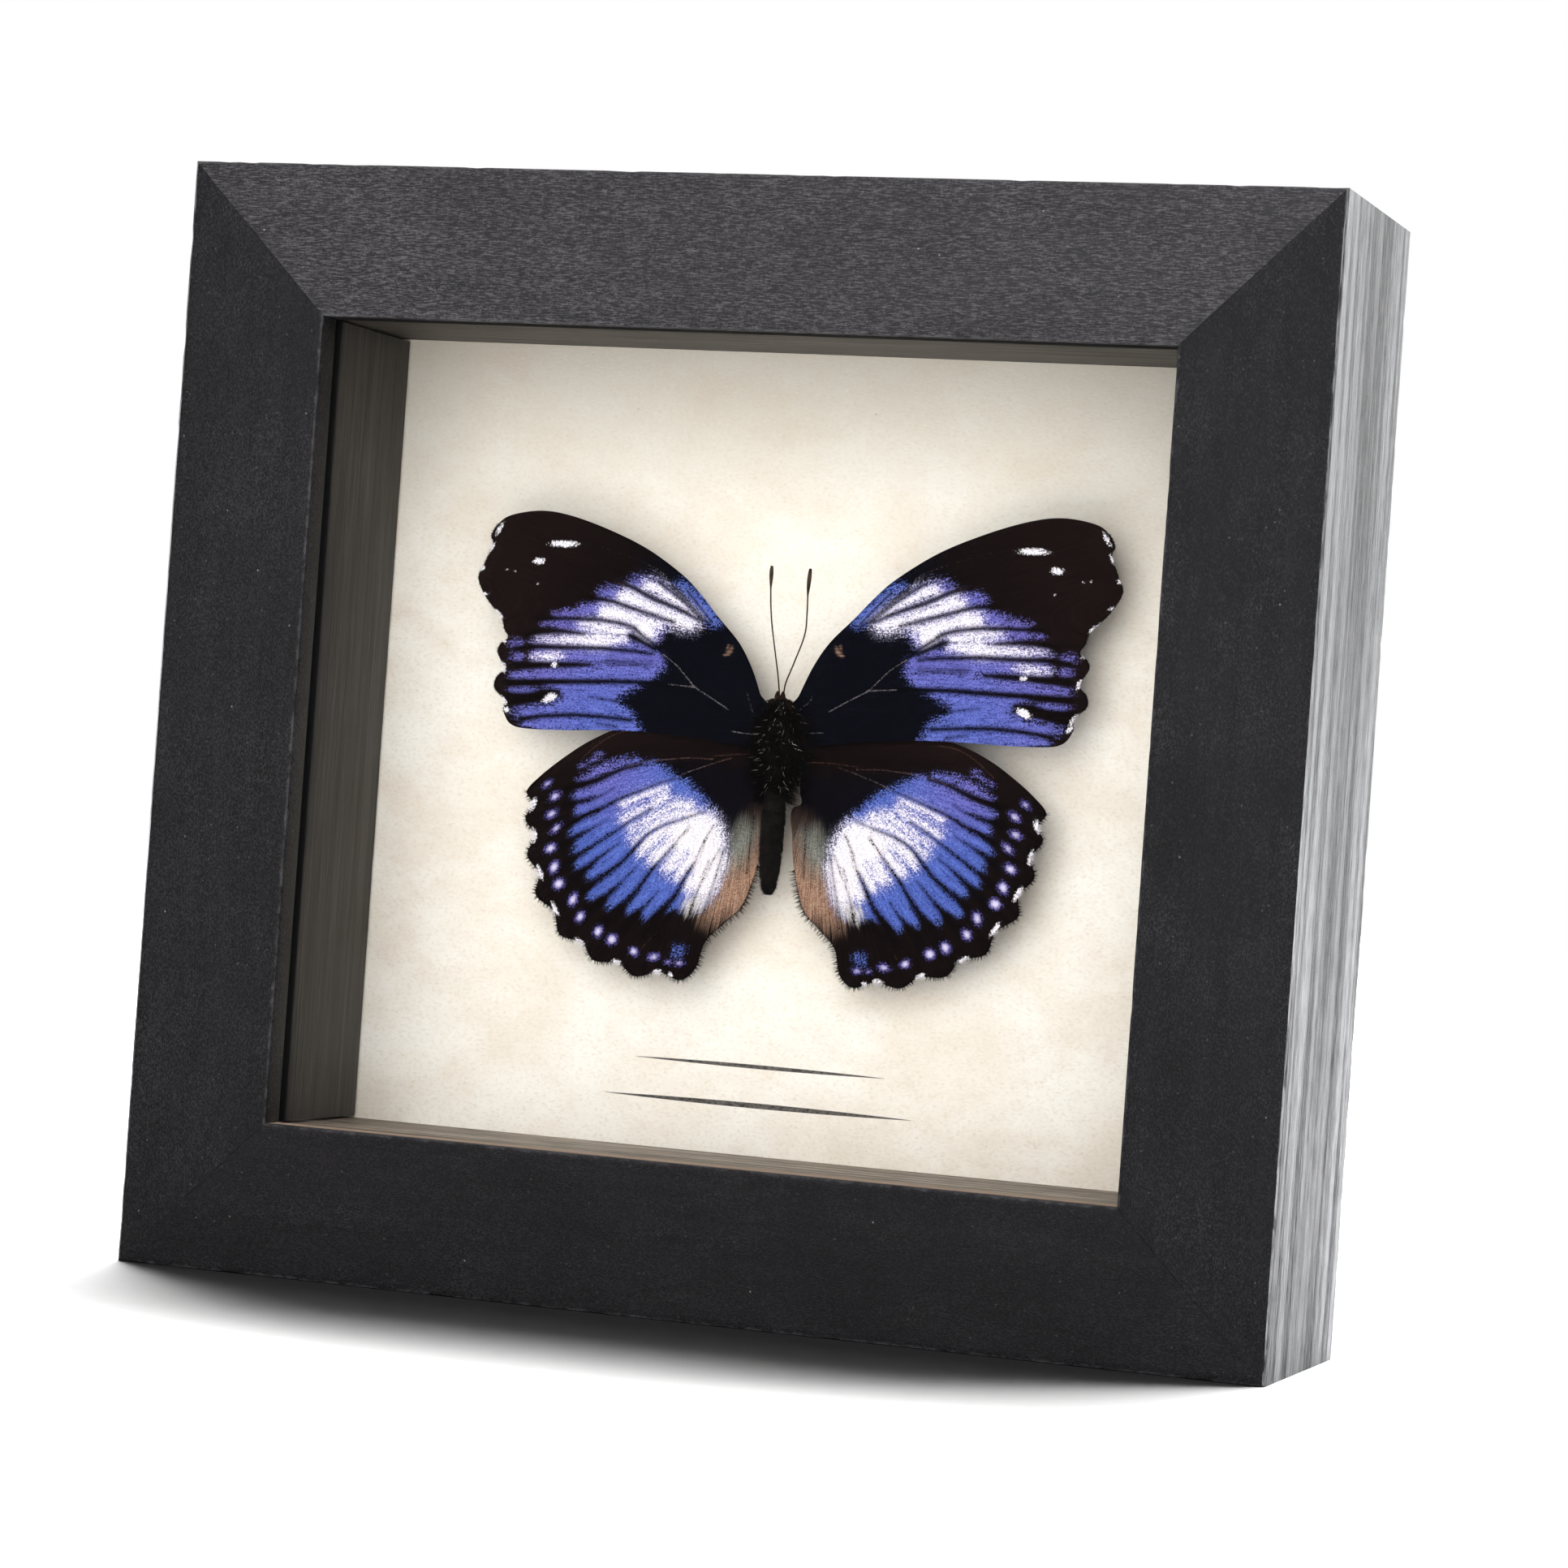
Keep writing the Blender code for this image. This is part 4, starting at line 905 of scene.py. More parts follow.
def build_frame():
    # The rails and stiles are one stain in lit and shaded copies: the top rail's paler colour and
    # brighter raised fibres are a painted highlight of light from above.
    top_wood_painted_highlight = stained_moulding("black stain top rail with painted highlight", True, "0a090b", "1e1c1f", "5f5c60", 0.30,
                                "050405", 0.12)
    bottom_wood = stained_moulding("black stain bottom rail", True, "060507", "131214",
                                   "2f2c30", 0.18, "b8a18e")
    stile_wood = stained_moulding("black stain stiles with painted side sheen", False, "060607", "131214", "313034", 0.16)
    top = build_rail("frame_top_rail", "top", top_wood_painted_highlight)
    build_rail("frame_bottom_rail", "bottom", bottom_wood, (0.06, 0.12))
    build_rail("frame_left_stile", "left", stile_wood)
    build_rail("frame_right_stile", "right", stile_wood)
    plate_low, plate_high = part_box("sawtooth_hanger")
    room = 0.3 * MM
    cut_out(top, (plate_low.x - room, HALF_DEPTH - 2 * MM, plate_low.z - room),
            (plate_high.x + room, HALF_DEPTH + MM, plate_high.z + room))
    pocket = plate_high.x - 9 * MM
    cut_out(top, (-pocket, HALF_DEPTH - 5 * MM, FRAME_TOP - 12.9 * MM),
            (pocket, HALF_DEPTH + MM, (plate_low.z + plate_high.z) / 2))
    for side in ("top_rail", "bottom_rail", "left_stile", "right_stile"):
        smooth_by_angle(bpy.data.objects["frame_" + side + "_shape"])


def build_spacers():
    # One stain in lit and shaded copies: the bottom strip's pale tan, at its front edge too, is
    # painted light reflected from the card, and the top strip is painted a little lighter than the
    # uprights.
    along_x = stained_spacer("brown stain top strip", True, "2a2620", "544b41")
    ledge_painted_light = stained_spacer("brown stain bottom strip with painted light", True, "6a5d50", "c2af9d", "9a8777")
    along_z = stained_spacer("brown stain uprights", False, "1f1c18", "3a342c")
    for side, material in (("top", along_x), ("bottom", ledge_painted_light),
                           ("left", along_z), ("right", along_z)):
        name = "spacer_" + side
        low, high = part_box(name)
        axis = 0 if side in ("top", "bottom") else 2
        piece = new_block(name, low, high)
        edit(piece)
        choose(piece, edges=lambda e: is_along(e, axis))
        bpy.ops.mesh.bevel(offset=0.25 * MM, segments=2, affect="EDGES")
        choose(piece, edges=lambda e: is_along(e, axis))
        bpy.ops.mesh.subdivide(number_cuts=140)
        bpy.ops.object.mode_set(mode="OBJECT")
        middle = (low + high) / 2
        for vert in piece.data.vertices:
            ragged = 0.5 + 0.5 * noise.noise(Vector(vert.co) * 900)
            coarse = 0.5 + 0.5 * noise.noise(Vector(vert.co) * 260)
            pull = (middle - vert.co).normalized() * (0.16 * ragged ** 2 + 0.08 * coarse) * MM
            pull[axis] = 0
            vert.co += pull
        smooth_by_angle(piece)
        add_piece(piece, name, material)


# --- wings -----------------------------------------------------------------------------------
SCALE_GRID = 0.25               # gap between the points inside a wing, in millimetres
WING_SHELL = 0.10               # thickness of a wing
OUTSIDE = -9.0                  # signed distance to a mark that a wing does not have
ROOT_TUCK = 1.7                 # how far the wing roots reach in under the hair of the thorax


def smooth_curve(points, steps, closed=True):
    """Points along a Catmull-Rom curve through flat points, as an array."""
    points = np.array(points, float)
    count = len(points)
    curve = []
    for span in range(count if closed else count - 1):
        picks = [(span + k) % count if closed else min(max(span + k, 0), count - 1)
                 for k in (-1, 0, 1, 2)]
        p0, p1, p2, p3 = points[picks]
        for step in range(steps):
            t = step / steps
            curve.append(0.5 * (2 * p1 + (p2 - p0) * t + (2 * p0 - 5 * p1 + 4 * p2 - p3) * t ** 2
                                + (3 * p1 - p0 - 3 * p2 + p3) * t ** 3))
    if not closed:
        curve.append(points[-1])
    return np.array(curve)


def spread_evenly(curve, gap):
    """The same curve with its points about one gap apart."""
    steps = np.linalg.norm(np.diff(curve, axis=0), axis=1)
    along = np.concatenate([[0], np.cumsum(steps)])
    count = max(int(along[-1] / gap), 2)
    wanted = np.linspace(0, along[-1], count + 1)
    return np.stack([np.interp(wanted, along, curve[:, k]) for k in (0, 1)], 1)


def reach_of(places, start, end):
    """Distance from each place to a straight piece of line, and how far along it is nearest."""
    span = end - start
    share = np.clip((places - start) @ span / max(span @ span, 1e-9), 0, 1)
    return np.linalg.norm(places - start - share[:, None] * span, axis=1), share


def line_field(places, lines, power=1.0):
    """Signed distance into tapering lines: (points, width at the start, width at the end)."""
    field = np.full(len(places), OUTSIDE)
    for points, first, last in lines:
        curve = smooth_curve(points, 4, closed=False)
        count = len(curve) - 1
        for k in range(count):
            away, share = reach_of(places, curve[k], curve[k + 1])
            width = first + (last - first) * ((k + share) / count) ** power
            field = np.maximum(field, width / 2 - away)
    return field


def area_field(places, areas, steps=3):
    """Signed distance into any of several closed outlines."""
    field = np.full(len(places), OUTSIDE)
    for outline in areas:
        curve = smooth_curve(outline, steps)
        away = np.full(len(places), 99.0)
        inside = np.zeros(len(places), bool)
        for start, end in zip(curve, np.roll(curve, -1, axis=0)):
            away = np.minimum(away, reach_of(places, start, end)[0])
            straddles = (start[1] > places[:, 1]) != (end[1] > places[:, 1])
            rise = end[1] - start[1]
            crossing = start[0] + (places[:, 1] - start[1]) * (end[0] - start[0]) / (rise or 1e-9)
            inside ^= straddles & (places[:, 0] < crossing)
        field = np.maximum(field, np.where(inside, away, -away))
    return field


def oval_field(places, ovals):
    """Signed distance into turned ovals."""
    field = np.full(len(places), OUTSIDE)
    for x, z, long, short, turn in ovals:
        c, s = (math.cos(math.radians(turn)), math.sin(math.radians(turn)))
        off = places - (x, z)
        size = np.hypot((off @ (c, s)) / long, (off @ (-s, c)) / short)
        field = np.maximum(field, (1 - size) * min(long, short))
    return field


def ramp(values, low, high):
    share = np.clip((values - low) / (high - low), 0, 1)
    return share * share * (3 - 2 * share)


def forewing_fields(places):
    x, z = places.T
    slope = 0.30 * ramp(z, 12, 19)
    nowhere = np.full(len(places), OUTSIDE)
    return {
        "blue": area_field(places, FOREWING_BLUE),
        "frost": area_field(places, FOREWING_FROST) - 0.4 * ramp(x, 22, 33),
        "dark": line_field(places, FOREWING_DARK),
        "dusk": line_field(places, FOREWING_DUSK),
        "pale": line_field(places, FOREWING_PALE),
        "warm": area_field(places, FOREWING_SCARS) * 6 - 0.9,
        "grey": nowhere,
        "cream": nowhere,
        "dot": nowhere,
        "spot": oval_field(places, FOREWING_SPOTS),
        "violet": np.clip(0.35 + 0.5 * ramp(z, 3, 13) + 0.35 * ramp(x, 26, 36)
                          - 0.7 * ramp(z - x, 2, 5), 0, 1),
        "navy": 1 - ramp(x + 0.3 * z, 22, 31),
        "bronze": 0.6 * ramp(x + 0.4 * z, 30, 50),
        "veil": nowhere,
    }, np.stack([x * 0.25, (z - slope * (x - 18)) * 2.2], 1)


def hindwing_fields(places):
    x, z = places.T
    turn = np.arctan2(z - 1.0, x - 4.0)
    nowhere = np.full(len(places), OUTSIDE)
    frost = np.maximum(area_field(places, HINDWING_FROST),
                       line_field(places, HINDWING_GRAIN) - 0.1)
    base = area_field(places, HINDWING_BASE)
    dust = np.maximum(area_field(places, HINDWING_DUST) - 0.7,
                      area_field(places, HINDWING_CLUSTER) - 0.55)
    outer = 0.9 * ramp(np.hypot(x - 4, z - 1), 22, 29)
    return {
        "blue": np.maximum(area_field(places, HINDWING_BLUE) - outer, np.minimum(dust, 0.0)),
        "frost": frost,
        "dark": line_field(places, HINDWING_DARK, 1.7) - 0.07,
        "dusk": nowhere,
        "pale": line_field(places, HINDWING_PALE),
        "warm": np.minimum(area_field(places, HINDWING_WARM) - 0.1, -base),
        "grey": np.minimum(area_field(places, HINDWING_GREY) - 0.4, -base - 0.3),
        "cream": area_field(places, HINDWING_CREAM),
        "dot": oval_field(places, HINDWING_DOTS) - 0.07,
        "spot": oval_field(places, HINDWING_NOTCHES),
        "violet": np.clip(0.1 + 0.8 * ramp(x, 13, 25) * ramp(z, -14, -4), 0, 1),
        "navy": 0.7 * ramp(base, -0.5, 1.0) * ramp(-z, 1, 4),
        "bronze": 0.6 * ramp(z + 0.25 * x, 1.5, 7.5) * ramp(x, 4, 14),
        "veil": np.minimum(area_field(places, HINDWING_VEIL), -base - 0.3),
    }, np.stack([np.hypot(x - 4, z - 1) * 0.25, turn * 18 * 2.2], 1)


def build_wing(name, outline, lines, fields_of, setting, front, side, fringe, material):
    """A thin shell over the drawn outline, with raised veins, sagging cells and a hair fringe."""
    margin = smooth_curve(outline, 6)
    ring = spread_evenly(np.vstack([margin, margin[:1]]), 0.2)[:-1]
    count = len(ring)
    points = [tuple(p) for p in ring]
    edges = [(k, (k + 1) % count) for k in range(count)]
    veins = [(route, 0.0, 0.0) for route, _, _ in lines]
    for route, _, _ in lines:
        curve = spread_evenly(smooth_curve(route, 4, closed=False), 0.25)
        inside = area_field(curve, [outline], 6) > 0.15
        for k in range(len(curve) - 1):
            if inside[k] and inside[k + 1]:
                edges.append((len(points), len(points) + 1))
                points += [tuple(curve[k]), tuple(curve[k + 1])]
    low, high = (ring.min(0), ring.max(0))
    row = SCALE_GRID * math.sqrt(3) / 2
    grid = np.array([(low[0] + SCALE_GRID * (i + 0.5 * (j % 2)), low[1] + row * j)
                     for j in range(int((high[1] - low[1]) / row) + 1)
                     for i in range(int((high[0] - low[0]) / SCALE_GRID) + 1)])
    edge_room = area_field(grid, [outline], 6)
    vein_room = -line_field(grid, veins)
    grid = grid[(edge_room > 0.12) & (vein_room > 0.09)]
    points += [tuple(p) for p in grid]
    flat, _, faces, _, _, _ = geometry.delaunay_2d_cdt(
        [Vector(p) for p in points], edges, [list(range(count))], 1, 1e-5)
    places = np.array([tuple(p) for p in flat])
    fields, flow = fields_of(places)
    vein = -line_field(places, veins)
    lift = (0.05 * np.exp(-(vein / 0.10) ** 2) - 0.11 * (1 - np.exp(-(vein / 1.1) ** 2))
            - 0.25 * (np.abs(places[:, 0]) / 40) ** 2)
    lift += 0.05 * np.array([noise.noise(Vector((x * 0.35, z * 0.35, front * 900)))
                             for x, z in places])
    mirror = -1 if side == "left" else 1
    triangles = np.array(faces)

    def position(flat_places, depth):
        out, up = flat_places.T
        if side == "right":
            sx, lx, lz, sz, dx, dz = setting
            out, up = (sx * out + lx * up + dx, lz * out + sz * up + dz)
        tucked = ramp(-up, -7.0, -4.5) * ramp(up, -7.5, -5.0)
        out = out - ROOT_TUCK * np.clip((6.5 - out) / 3.5, 0, 1) ** 2 * tucked
        return np.stack([SPECIMEN_X + mirror * out * MM, front + (0.15 - depth) * MM,
                         SPECIMEN_Z + up * MM], 1)

    total = len(places)
    uses = dict.fromkeys(pair for a, b, c in triangles for pair in ((a, b), (b, c), (c, a)))
    rim = [(b, a, a + total, b + total) for a, b in uses if (b, a) not in uses]
    verts = np.vstack([position(places, lift), position(places, lift - WING_SHELL)])
    front_faces = triangles[:, ::-1] if mirror < 0 else triangles
    back_faces = front_faces[:, ::-1] + total
    shell = [tuple(f) for f in front_faces] + [tuple(f) for f in back_faces] + rim
    values = {key: np.concatenate([field, field]) for key, field in fields.items()}
    flow = np.vstack([flow, flow])
    hairs, hair_faces, roots = fringe_hairs(ring, fringe, total * 2, len(name) + (side == "left"))
    if len(hairs):
        root_fields, root_flow = fields_of(roots)
        hair_verts = position(hairs[:, :2],
                              hairs[:, 2] - 0.25 * (np.abs(hairs[:, 0]) / 40) ** 2 - 0.1)
        verts = np.vstack([verts, hair_verts])
        for key in values:
            values[key] = np.concatenate([values[key], root_fields[key]])
        values["dark"][total * 2:] = 1.0
        values["blue"][total * 2:] = OUTSIDE
        flow = np.vstack([flow, root_flow])
    mesh = bpy.data.meshes.new(name)
    mesh.from_pydata([tuple(v) for v in verts], [], shell + hair_faces)
    for key, field in values.items():
        layer = mesh.attributes.new(key, "FLOAT", "POINT")
        layer.data.foreach_set("value", field.astype(np.float32))
    layer = mesh.attributes.new("flow", "FLOAT_VECTOR", "POINT")
    spread = np.zeros((len(verts), 3), np.float32)
    spread[:, :2] = flow
    layer.data.foreach_set("vector", spread.ravel())
    piece = link_object(name, mesh)
    edit(piece)
    bpy.ops.mesh.select_all(action="SELECT")
    bpy.ops.mesh.normals_make_consistent(inside=False)
    bpy.ops.object.mode_set(mode="OBJECT")
    smooth_by_angle(piece, 50)
    return add_piece(piece, name, material)


def fringe_hairs(ring, spans, first_index, seed):
    """Thin closed spikes along the margin: (first point, last point, length) for each span."""
    draw = random.Random(seed * 17)
    verts, faces, roots = ([], [], [])
    following = np.roll(ring, -1, axis=0)
    winding = np.sign(np.sum(ring[:, 0] * following[:, 1] - following[:, 0] * ring[:, 1]))
    for start, end, length in spans:
        a, b = (int(np.argmin(np.linalg.norm(ring - p, axis=1))) for p in (start, end))
        k = a
        while k != b:
            for _ in range(2):
                t = draw.random()
                root = ring[k] * (1 - t) + following[k] * t
                along = following[k] - ring[k]
                along = along / max(np.linalg.norm(along), 1e-6)
                out = np.array([along[1], -along[0]]) * winding
                lean = draw.uniform(-0.5, 0.5)
                tip = root + (out + along * lean) * length * draw.uniform(0.55, 1.1)
                root = root - out * 0.12
                half = draw.uniform(0.035, 0.065)
                depth = draw.uniform(-0.04, 0.06)
                n = first_index + len(verts)
                verts += [(*(root - along * half), depth), (*(root + along * half), depth),
                          (*root, depth + 1.6 * half), (*tip, depth + draw.uniform(-0.08, 0.08))]
                faces += [(n, n + 1, n + 2), (n, n + 3, n + 1), (n + 1, n + 3, n + 2),
                          (n + 2, n + 3, n)]
                roots += [root + out * 0.10] * 4
            k = (k + 1) % len(ring)
    return np.array(verts), faces, np.array(roots)


def build_wings():
    material = wing_scales()
    fore_lines = FOREWING_DARK + FOREWING_PALE[:3]
    hind_lines = HINDWING_DARK + HINDWING_PALE[:4]
    fore_fringe = [((41.2, 26.9), (38.6, 2.5), 0.22)]
    hind_fringe = [((34.8, -7.5), (9.8, -28.6), 0.65), ((9.8, -28.6), (2.3, -14.8), 0.9)]
    for side in ("left", "right"):
        build_wing("forewing_" + side, FOREWING_OUTLINE, fore_lines, forewing_fields,
                   FOREWING_RIGHT_SET, FOREWING_FRONT, side, fore_fringe, material)
        build_wing("hindwing_" + side, HINDWING_OUTLINE, hind_lines, hindwing_fields,
                   HINDWING_RIGHT_SET, HINDWING_FRONT, side, hind_fringe, material)


# --- body ------------------------------------------------------------------------------------
# Height, half width, half depth and depth of the middle below the front face, in millimetres.
BODY_SECTIONS = [
    (-18.5, 0.5, 0.5, 22.1), (-17.6, 0.95, 0.9, 22.05), (-15.5, 1.3, 1.2, 22.0),
    (-12.5, 1.5, 1.35, 22.0), (-9.5, 1.55, 1.4, 22.0), (-6.4, 1.45, 1.35, 22.0),
    (-4.8, 1.5, 1.35, 22.1), (-3.0, 2.3, 2.1, 22.6), (-0.6, 2.75, 2.5, 22.7),
    (1.6, 2.7, 2.4, 22.7), (3.3, 2.5, 1.9, 22.5), (4.2, 2.1, 1.4, 22.3),
    (4.8, 1.6, 1.25, 22.1), (5.5, 1.45, 1.35, 22.0),
    (6.2, 1.1, 1.1, 21.9), (6.6, 0.5, 0.5, 21.9),
]
SEGMENT = 1.75                  # length of one ring of the abdomen
WAIST = -4.6                    # height where the abdomen ends and the thorax begins
BODY_HAIRS, ABDOMEN_HAIRS, SIDE_HAIRS = (6500, 3200, 2600)
ANTENNA_DEPTH = 21.9
LEFT_ANTENNA = [(-0.25, 6.4), (-0.7, 9.2), (-1.3, 12.0), (-2.2, 16.5), (-2.6, 20.3), (-2.7, 23.2)]
RIGHT_ANTENNA = [(0.25, 6.4), (0.35, 8.3), (1.2, 10.8), (2.4, 14.6), (2.5, 17.5), (2.4, 20.2),
                 (2.5, 23.1)]
# Tufts of pale scales on the head and thorax: out, up, number of scales.
PALE_TUFTS = [(0.2, 5.9, 14), (0.35, 4.9, 16), (-1.7, 4.7, 7), (0.5, 3.3, 5), (-1.3, 0.0, 14),
              (-0.7, 0.3, 8), (-1.5, 1.7, 7), (-0.9, 0.9, 6), (1.9, 0.4, 5), (-2.1, 0.6, 5)]


def at_height(up):
    """Half width, half depth and depth of the body at a height."""
    table = np.array(BODY_SECTIONS)
    return [float(np.interp(up, table[:, 0], table[:, k])) for k in (1, 2, 3)]


def specimen(out, up, depth):
    return Vector((SPECIMEN_X + out * MM, depth * MM - HALF_DEPTH, SPECIMEN_Z + up * MM))


def build_body(material):
    """The abdomen, thorax and head drawn upwards ring by ring, with a groove between segments."""
    heights = list(np.arange(-18.5, WAIST, 0.25)) + list(np.arange(-4.5, 6.61, 0.37))
    rings = []
    for up in heights:
        width, thick, depth = at_height(up)
        if up < WAIST:
            phase = ((up + 18.5) % SEGMENT) / SEGMENT
            groove = 1 - 0.10 * math.exp(-(min(phase, 1 - phase) / 0.10) ** 2)
            width, thick = (width * groove, thick * groove)
        rings.append((up, width, thick, depth))
    deselect()
    up, width, thick, depth = rings[0]
    bpy.ops.mesh.primitive_circle_add(vertices=36, radius=MM, fill_type="NGON",
                                      location=specimen(0, up, depth))
    piece = bpy.context.active_object
    piece.name = piece.data.name = "butterfly_body_shape"
    settle(piece)
    edit(piece)
    bpy.ops.mesh.select_all(action="SELECT")
    bpy.ops.transform.resize(value=(width, thick, 1), center_override=specimen(0, up, depth))
    for before, after in zip(rings, rings[1:]):
        step = specimen(0, after[0], after[3]) - specimen(0, before[0], before[3])
        bpy.ops.mesh.extrude_region_move(TRANSFORM_OT_translate={"value": step})
        bpy.ops.transform.resize(value=(after[1] / before[1], after[2] / before[2], 1),
                                 center_override=specimen(0, after[0], after[3]))
    bpy.ops.mesh.select_all(action="SELECT")
    bpy.ops.mesh.normals_make_consistent(inside=False)
    bpy.ops.object.mode_set(mode="OBJECT")
    for vert in piece.data.vertices:
        rough = noise.noise(Vector(vert.co) * 1400)
        vert.co.x += rough * 0.06 * MM
        vert.co.y += rough * 0.05 * MM
    settle(piece)
    smooth_by_angle(piece, 60)
    return add_piece(piece, "butterfly_body", material)


def build_eyes(material):
    """Two bulging eyes and the upturned palps between them."""
    deselect()
    made = []
    for side in (-1, 1):
        middle = specimen(side * 1.05, 5.55, 21.6)
        bpy.ops.mesh.primitive_uv_sphere_add(segments=28, ring_count=18, radius=0.78 * MM,
                                             location=middle)
        made.append(bpy.context.active_object)
        bpy.ops.object.mode_set(mode="EDIT")
        bpy.ops.transform.resize(value=(0.82, 0.95, 1.1), center_override=middle)
        bpy.ops.object.mode_set(mode="OBJECT")
        bpy.ops.mesh.primitive_cone_add(vertices=14, radius1=0.34 * MM, radius2=0.10 * MM,
                                        depth=1.3 * MM, location=specimen(side * 0.36, 6.7, 21.3))
        palp = bpy.context.active_object
        made.append(palp)
        bpy.ops.object.mode_set(mode="EDIT")
        bpy.ops.mesh.select_all(action="SELECT")
        bpy.ops.mesh.subdivide(number_cuts=2, smoothness=0.6)
        bpy.ops.object.mode_set(mode="OBJECT")
    deselect()
    for piece in made:
        piece.select_set(True)
    bpy.context.view_layer.objects.active = made[0]
    bpy.ops.object.join()
    piece = bpy.context.active_object
    piece.name = piece.data.name = "butterfly_eyes"
    settle(piece)
    smooth_by_angle(piece, 60)
    return add_piece(piece, None, material)


def build_fur(material):
    """Hair over the head, thorax and abdomen, with tufts of pale scales."""
    draw = random.Random(41)
    verts, faces, pale = ([], [], [])

    def add_hair(up, turn, length, thick, lean, white):
        width, half, depth = at_height(up)
        normal = Vector((math.cos(turn) / width, -math.sin(turn) / half, 0)).normalized()
        root = specimen(width * 0.97 * math.cos(turn), up, depth - half * 0.97 * math.sin(turn))
        side = Vector((0, 0, 1)).cross(normal)
        wander = side * draw.uniform(-0.35, 0.35)
        way = normal * (1 - lean) + Vector((0, 0, -lean)) + wander
        tip = root + way.normalized() * length * MM
        n = len(verts)
        for k in range(3):
            angle = math.tau * k / 3
            around = side * math.cos(angle) + Vector((0, 0, 1)) * math.sin(angle)
            verts.append(root - normal * 0.05 * MM + around * thick * MM)
        verts.append(tip)
        faces.extend([(n, n + 2, n + 1), (n, n + 1, n + 3), (n + 1, n + 2, n + 3),
                      (n + 2, n, n + 3)])
        pale.extend([white] * 4)

    for _ in range(BODY_HAIRS):
        add_hair(draw.uniform(-5.2, 6.4), draw.uniform(-0.5, math.pi + 0.5),
                 draw.uniform(0.5, 1.5), draw.uniform(0.035, 0.065), draw.uniform(0.1, 0.75),
                 draw.uniform(0.4, 1.0) if draw.random() < 0.018 else 0.0)
    for _ in range(ABDOMEN_HAIRS):
        add_hair(draw.uniform(-18.3, WAIST), draw.uniform(-0.3, math.pi + 0.3),
                 draw.uniform(0.22, 0.55), draw.uniform(0.018, 0.032),
                 draw.uniform(0.45, 0.85), 0.0)
    for _ in range(SIDE_HAIRS):
        turn = draw.choice((0.0, math.pi)) + draw.uniform(-0.35, 0.55) * draw.choice((-1, 1))
        add_hair(draw.uniform(-6.5, 4.8), turn, draw.uniform(1.1, 2.6), draw.uniform(0.03, 0.055),
                 draw.uniform(0.05, 0.6), 0.0)
    for out, up, count in PALE_TUFTS:
        for _ in range(count):
            high = up + draw.gauss(0, 0.16)
            width = at_height(high)[0]
            turn = math.acos(max(-0.95, min(0.95, (out + draw.gauss(0, 0.14)) / width)))
            add_hair(high, turn, draw.uniform(0.25, 0.55), 0.045, draw.uniform(0.2, 0.9),
                     draw.uniform(0.5, 1.0))
    mesh = bpy.data.meshes.new("butterfly_fur")
    mesh.from_pydata(verts, [], faces)
    layer = mesh.attributes.new("pale", "FLOAT", "POINT")
    layer.data.foreach_set("value", pale)
    piece = link_object("butterfly_fur", mesh)
    return add_piece(piece, None, material)


def build_antenna(name, route, material):
    """A thin ringed stalk that swells into a club."""
    points = smooth_curve(route, 14, closed=False)
    curve = bpy.data.curves.new(name, "CURVE")
    curve.dimensions = "3D"
    curve.bevel_depth = 0.1 * MM
    curve.bevel_resolution = 3
    curve.use_fill_caps = True
    spline = curve.splines.new("POLY")
    spline.points.add(len(points) - 1)
    for index, (knot, place) in enumerate(zip(spline.points, points)):
        along = index / (len(points) - 1)
        knot.co = (*specimen(place[0], place[1], ANTENNA_DEPTH + 0.4 * along), 1)
        club = max(0.0, (along - 0.80) / 0.20)
        bulge = math.sin(math.pi * min(club * 0.86, 1.0)) ** 1.2
        knot.radius = 0.95 + 0.05 * (index % 2) + 1.75 * bulge
    holder = link_object(name, curve)
    take(holder)
    bpy.ops.object.convert(target="MESH")
    piece = bpy.context.active_object
    piece.name = name + "_shape"
    settle(piece)
    smooth_by_angle(piece, 60)
    return add_piece(piece, name, material)


def build_insect():
    build_wings()
    skin = insect_skin("black chitin", "090706", "1a1411", 0.6)
    hair = insect_skin("black hair", "040303", "140e0c", 0.7)
    eye = insect_skin("brown eyes", "120c0a", "2a1b14", 0.2)
    horn = insect_skin("antenna horn", "1c1411", "4a3a31", 0.45)
    build_body(skin)
    build_eyes(eye)
    build_fur(hair)
    build_antenna("antenna_left", LEFT_ANTENNA, horn)
    build_antenna("antenna_right", RIGHT_ANTENNA, horn)


# --- carried-over pieces ---------------------------------------------------------------------
def finish_cad_nodes():
    point = worn_steel("blued steel points", "83868a", "6c6f73", "5a534c", 0.34, 0.5)
    plate = worn_steel("plated hanger steel", "a09d95", "8b8881", "786e5c", 0.3, 0.42)
    finishes = {"glass_pane": clear_glass(), "mount_card": cream_card(),
                "back_board": brown_board(), "mounting_block": foam_block(),
                "sawtooth_hanger": plate,
                "hanger_nail_left": plate, "hanger_nail_right": plate}
    for side in ("top", "bottom", "left", "right"):
        finishes["framers_point_" + side] = point
    for name, material in finishes.items():
        mesh = NODES[name].data
        mesh.materials.clear()
        mesh.materials.append(material)


# --- stage -----------------------------------------------------------------------------------
def build_stage():
    """A pale floor that runs back to the horizon."""
    deselect()
    bpy.ops.mesh.primitive_plane_add(size=1, location=(0, 0, 0))
    floor = bpy.context.active_object
    floor.name = floor.data.name = "studio_floor"
    edit(floor)
    bpy.ops.mesh.select_all(action="SELECT")
    bpy.ops.transform.resize(value=(6.0, 3.25, 1), center_override=(0, 0, 0))
    bpy.ops.transform.translate(value=(0, 1.365, 0))
    bpy.ops.mesh.subdivide(number_cuts=8)
    settle(floor)
    smooth_by_angle(floor, 60)
    floor.data.materials.clear()
    floor.data.materials.append(studio_paper())
    return floor


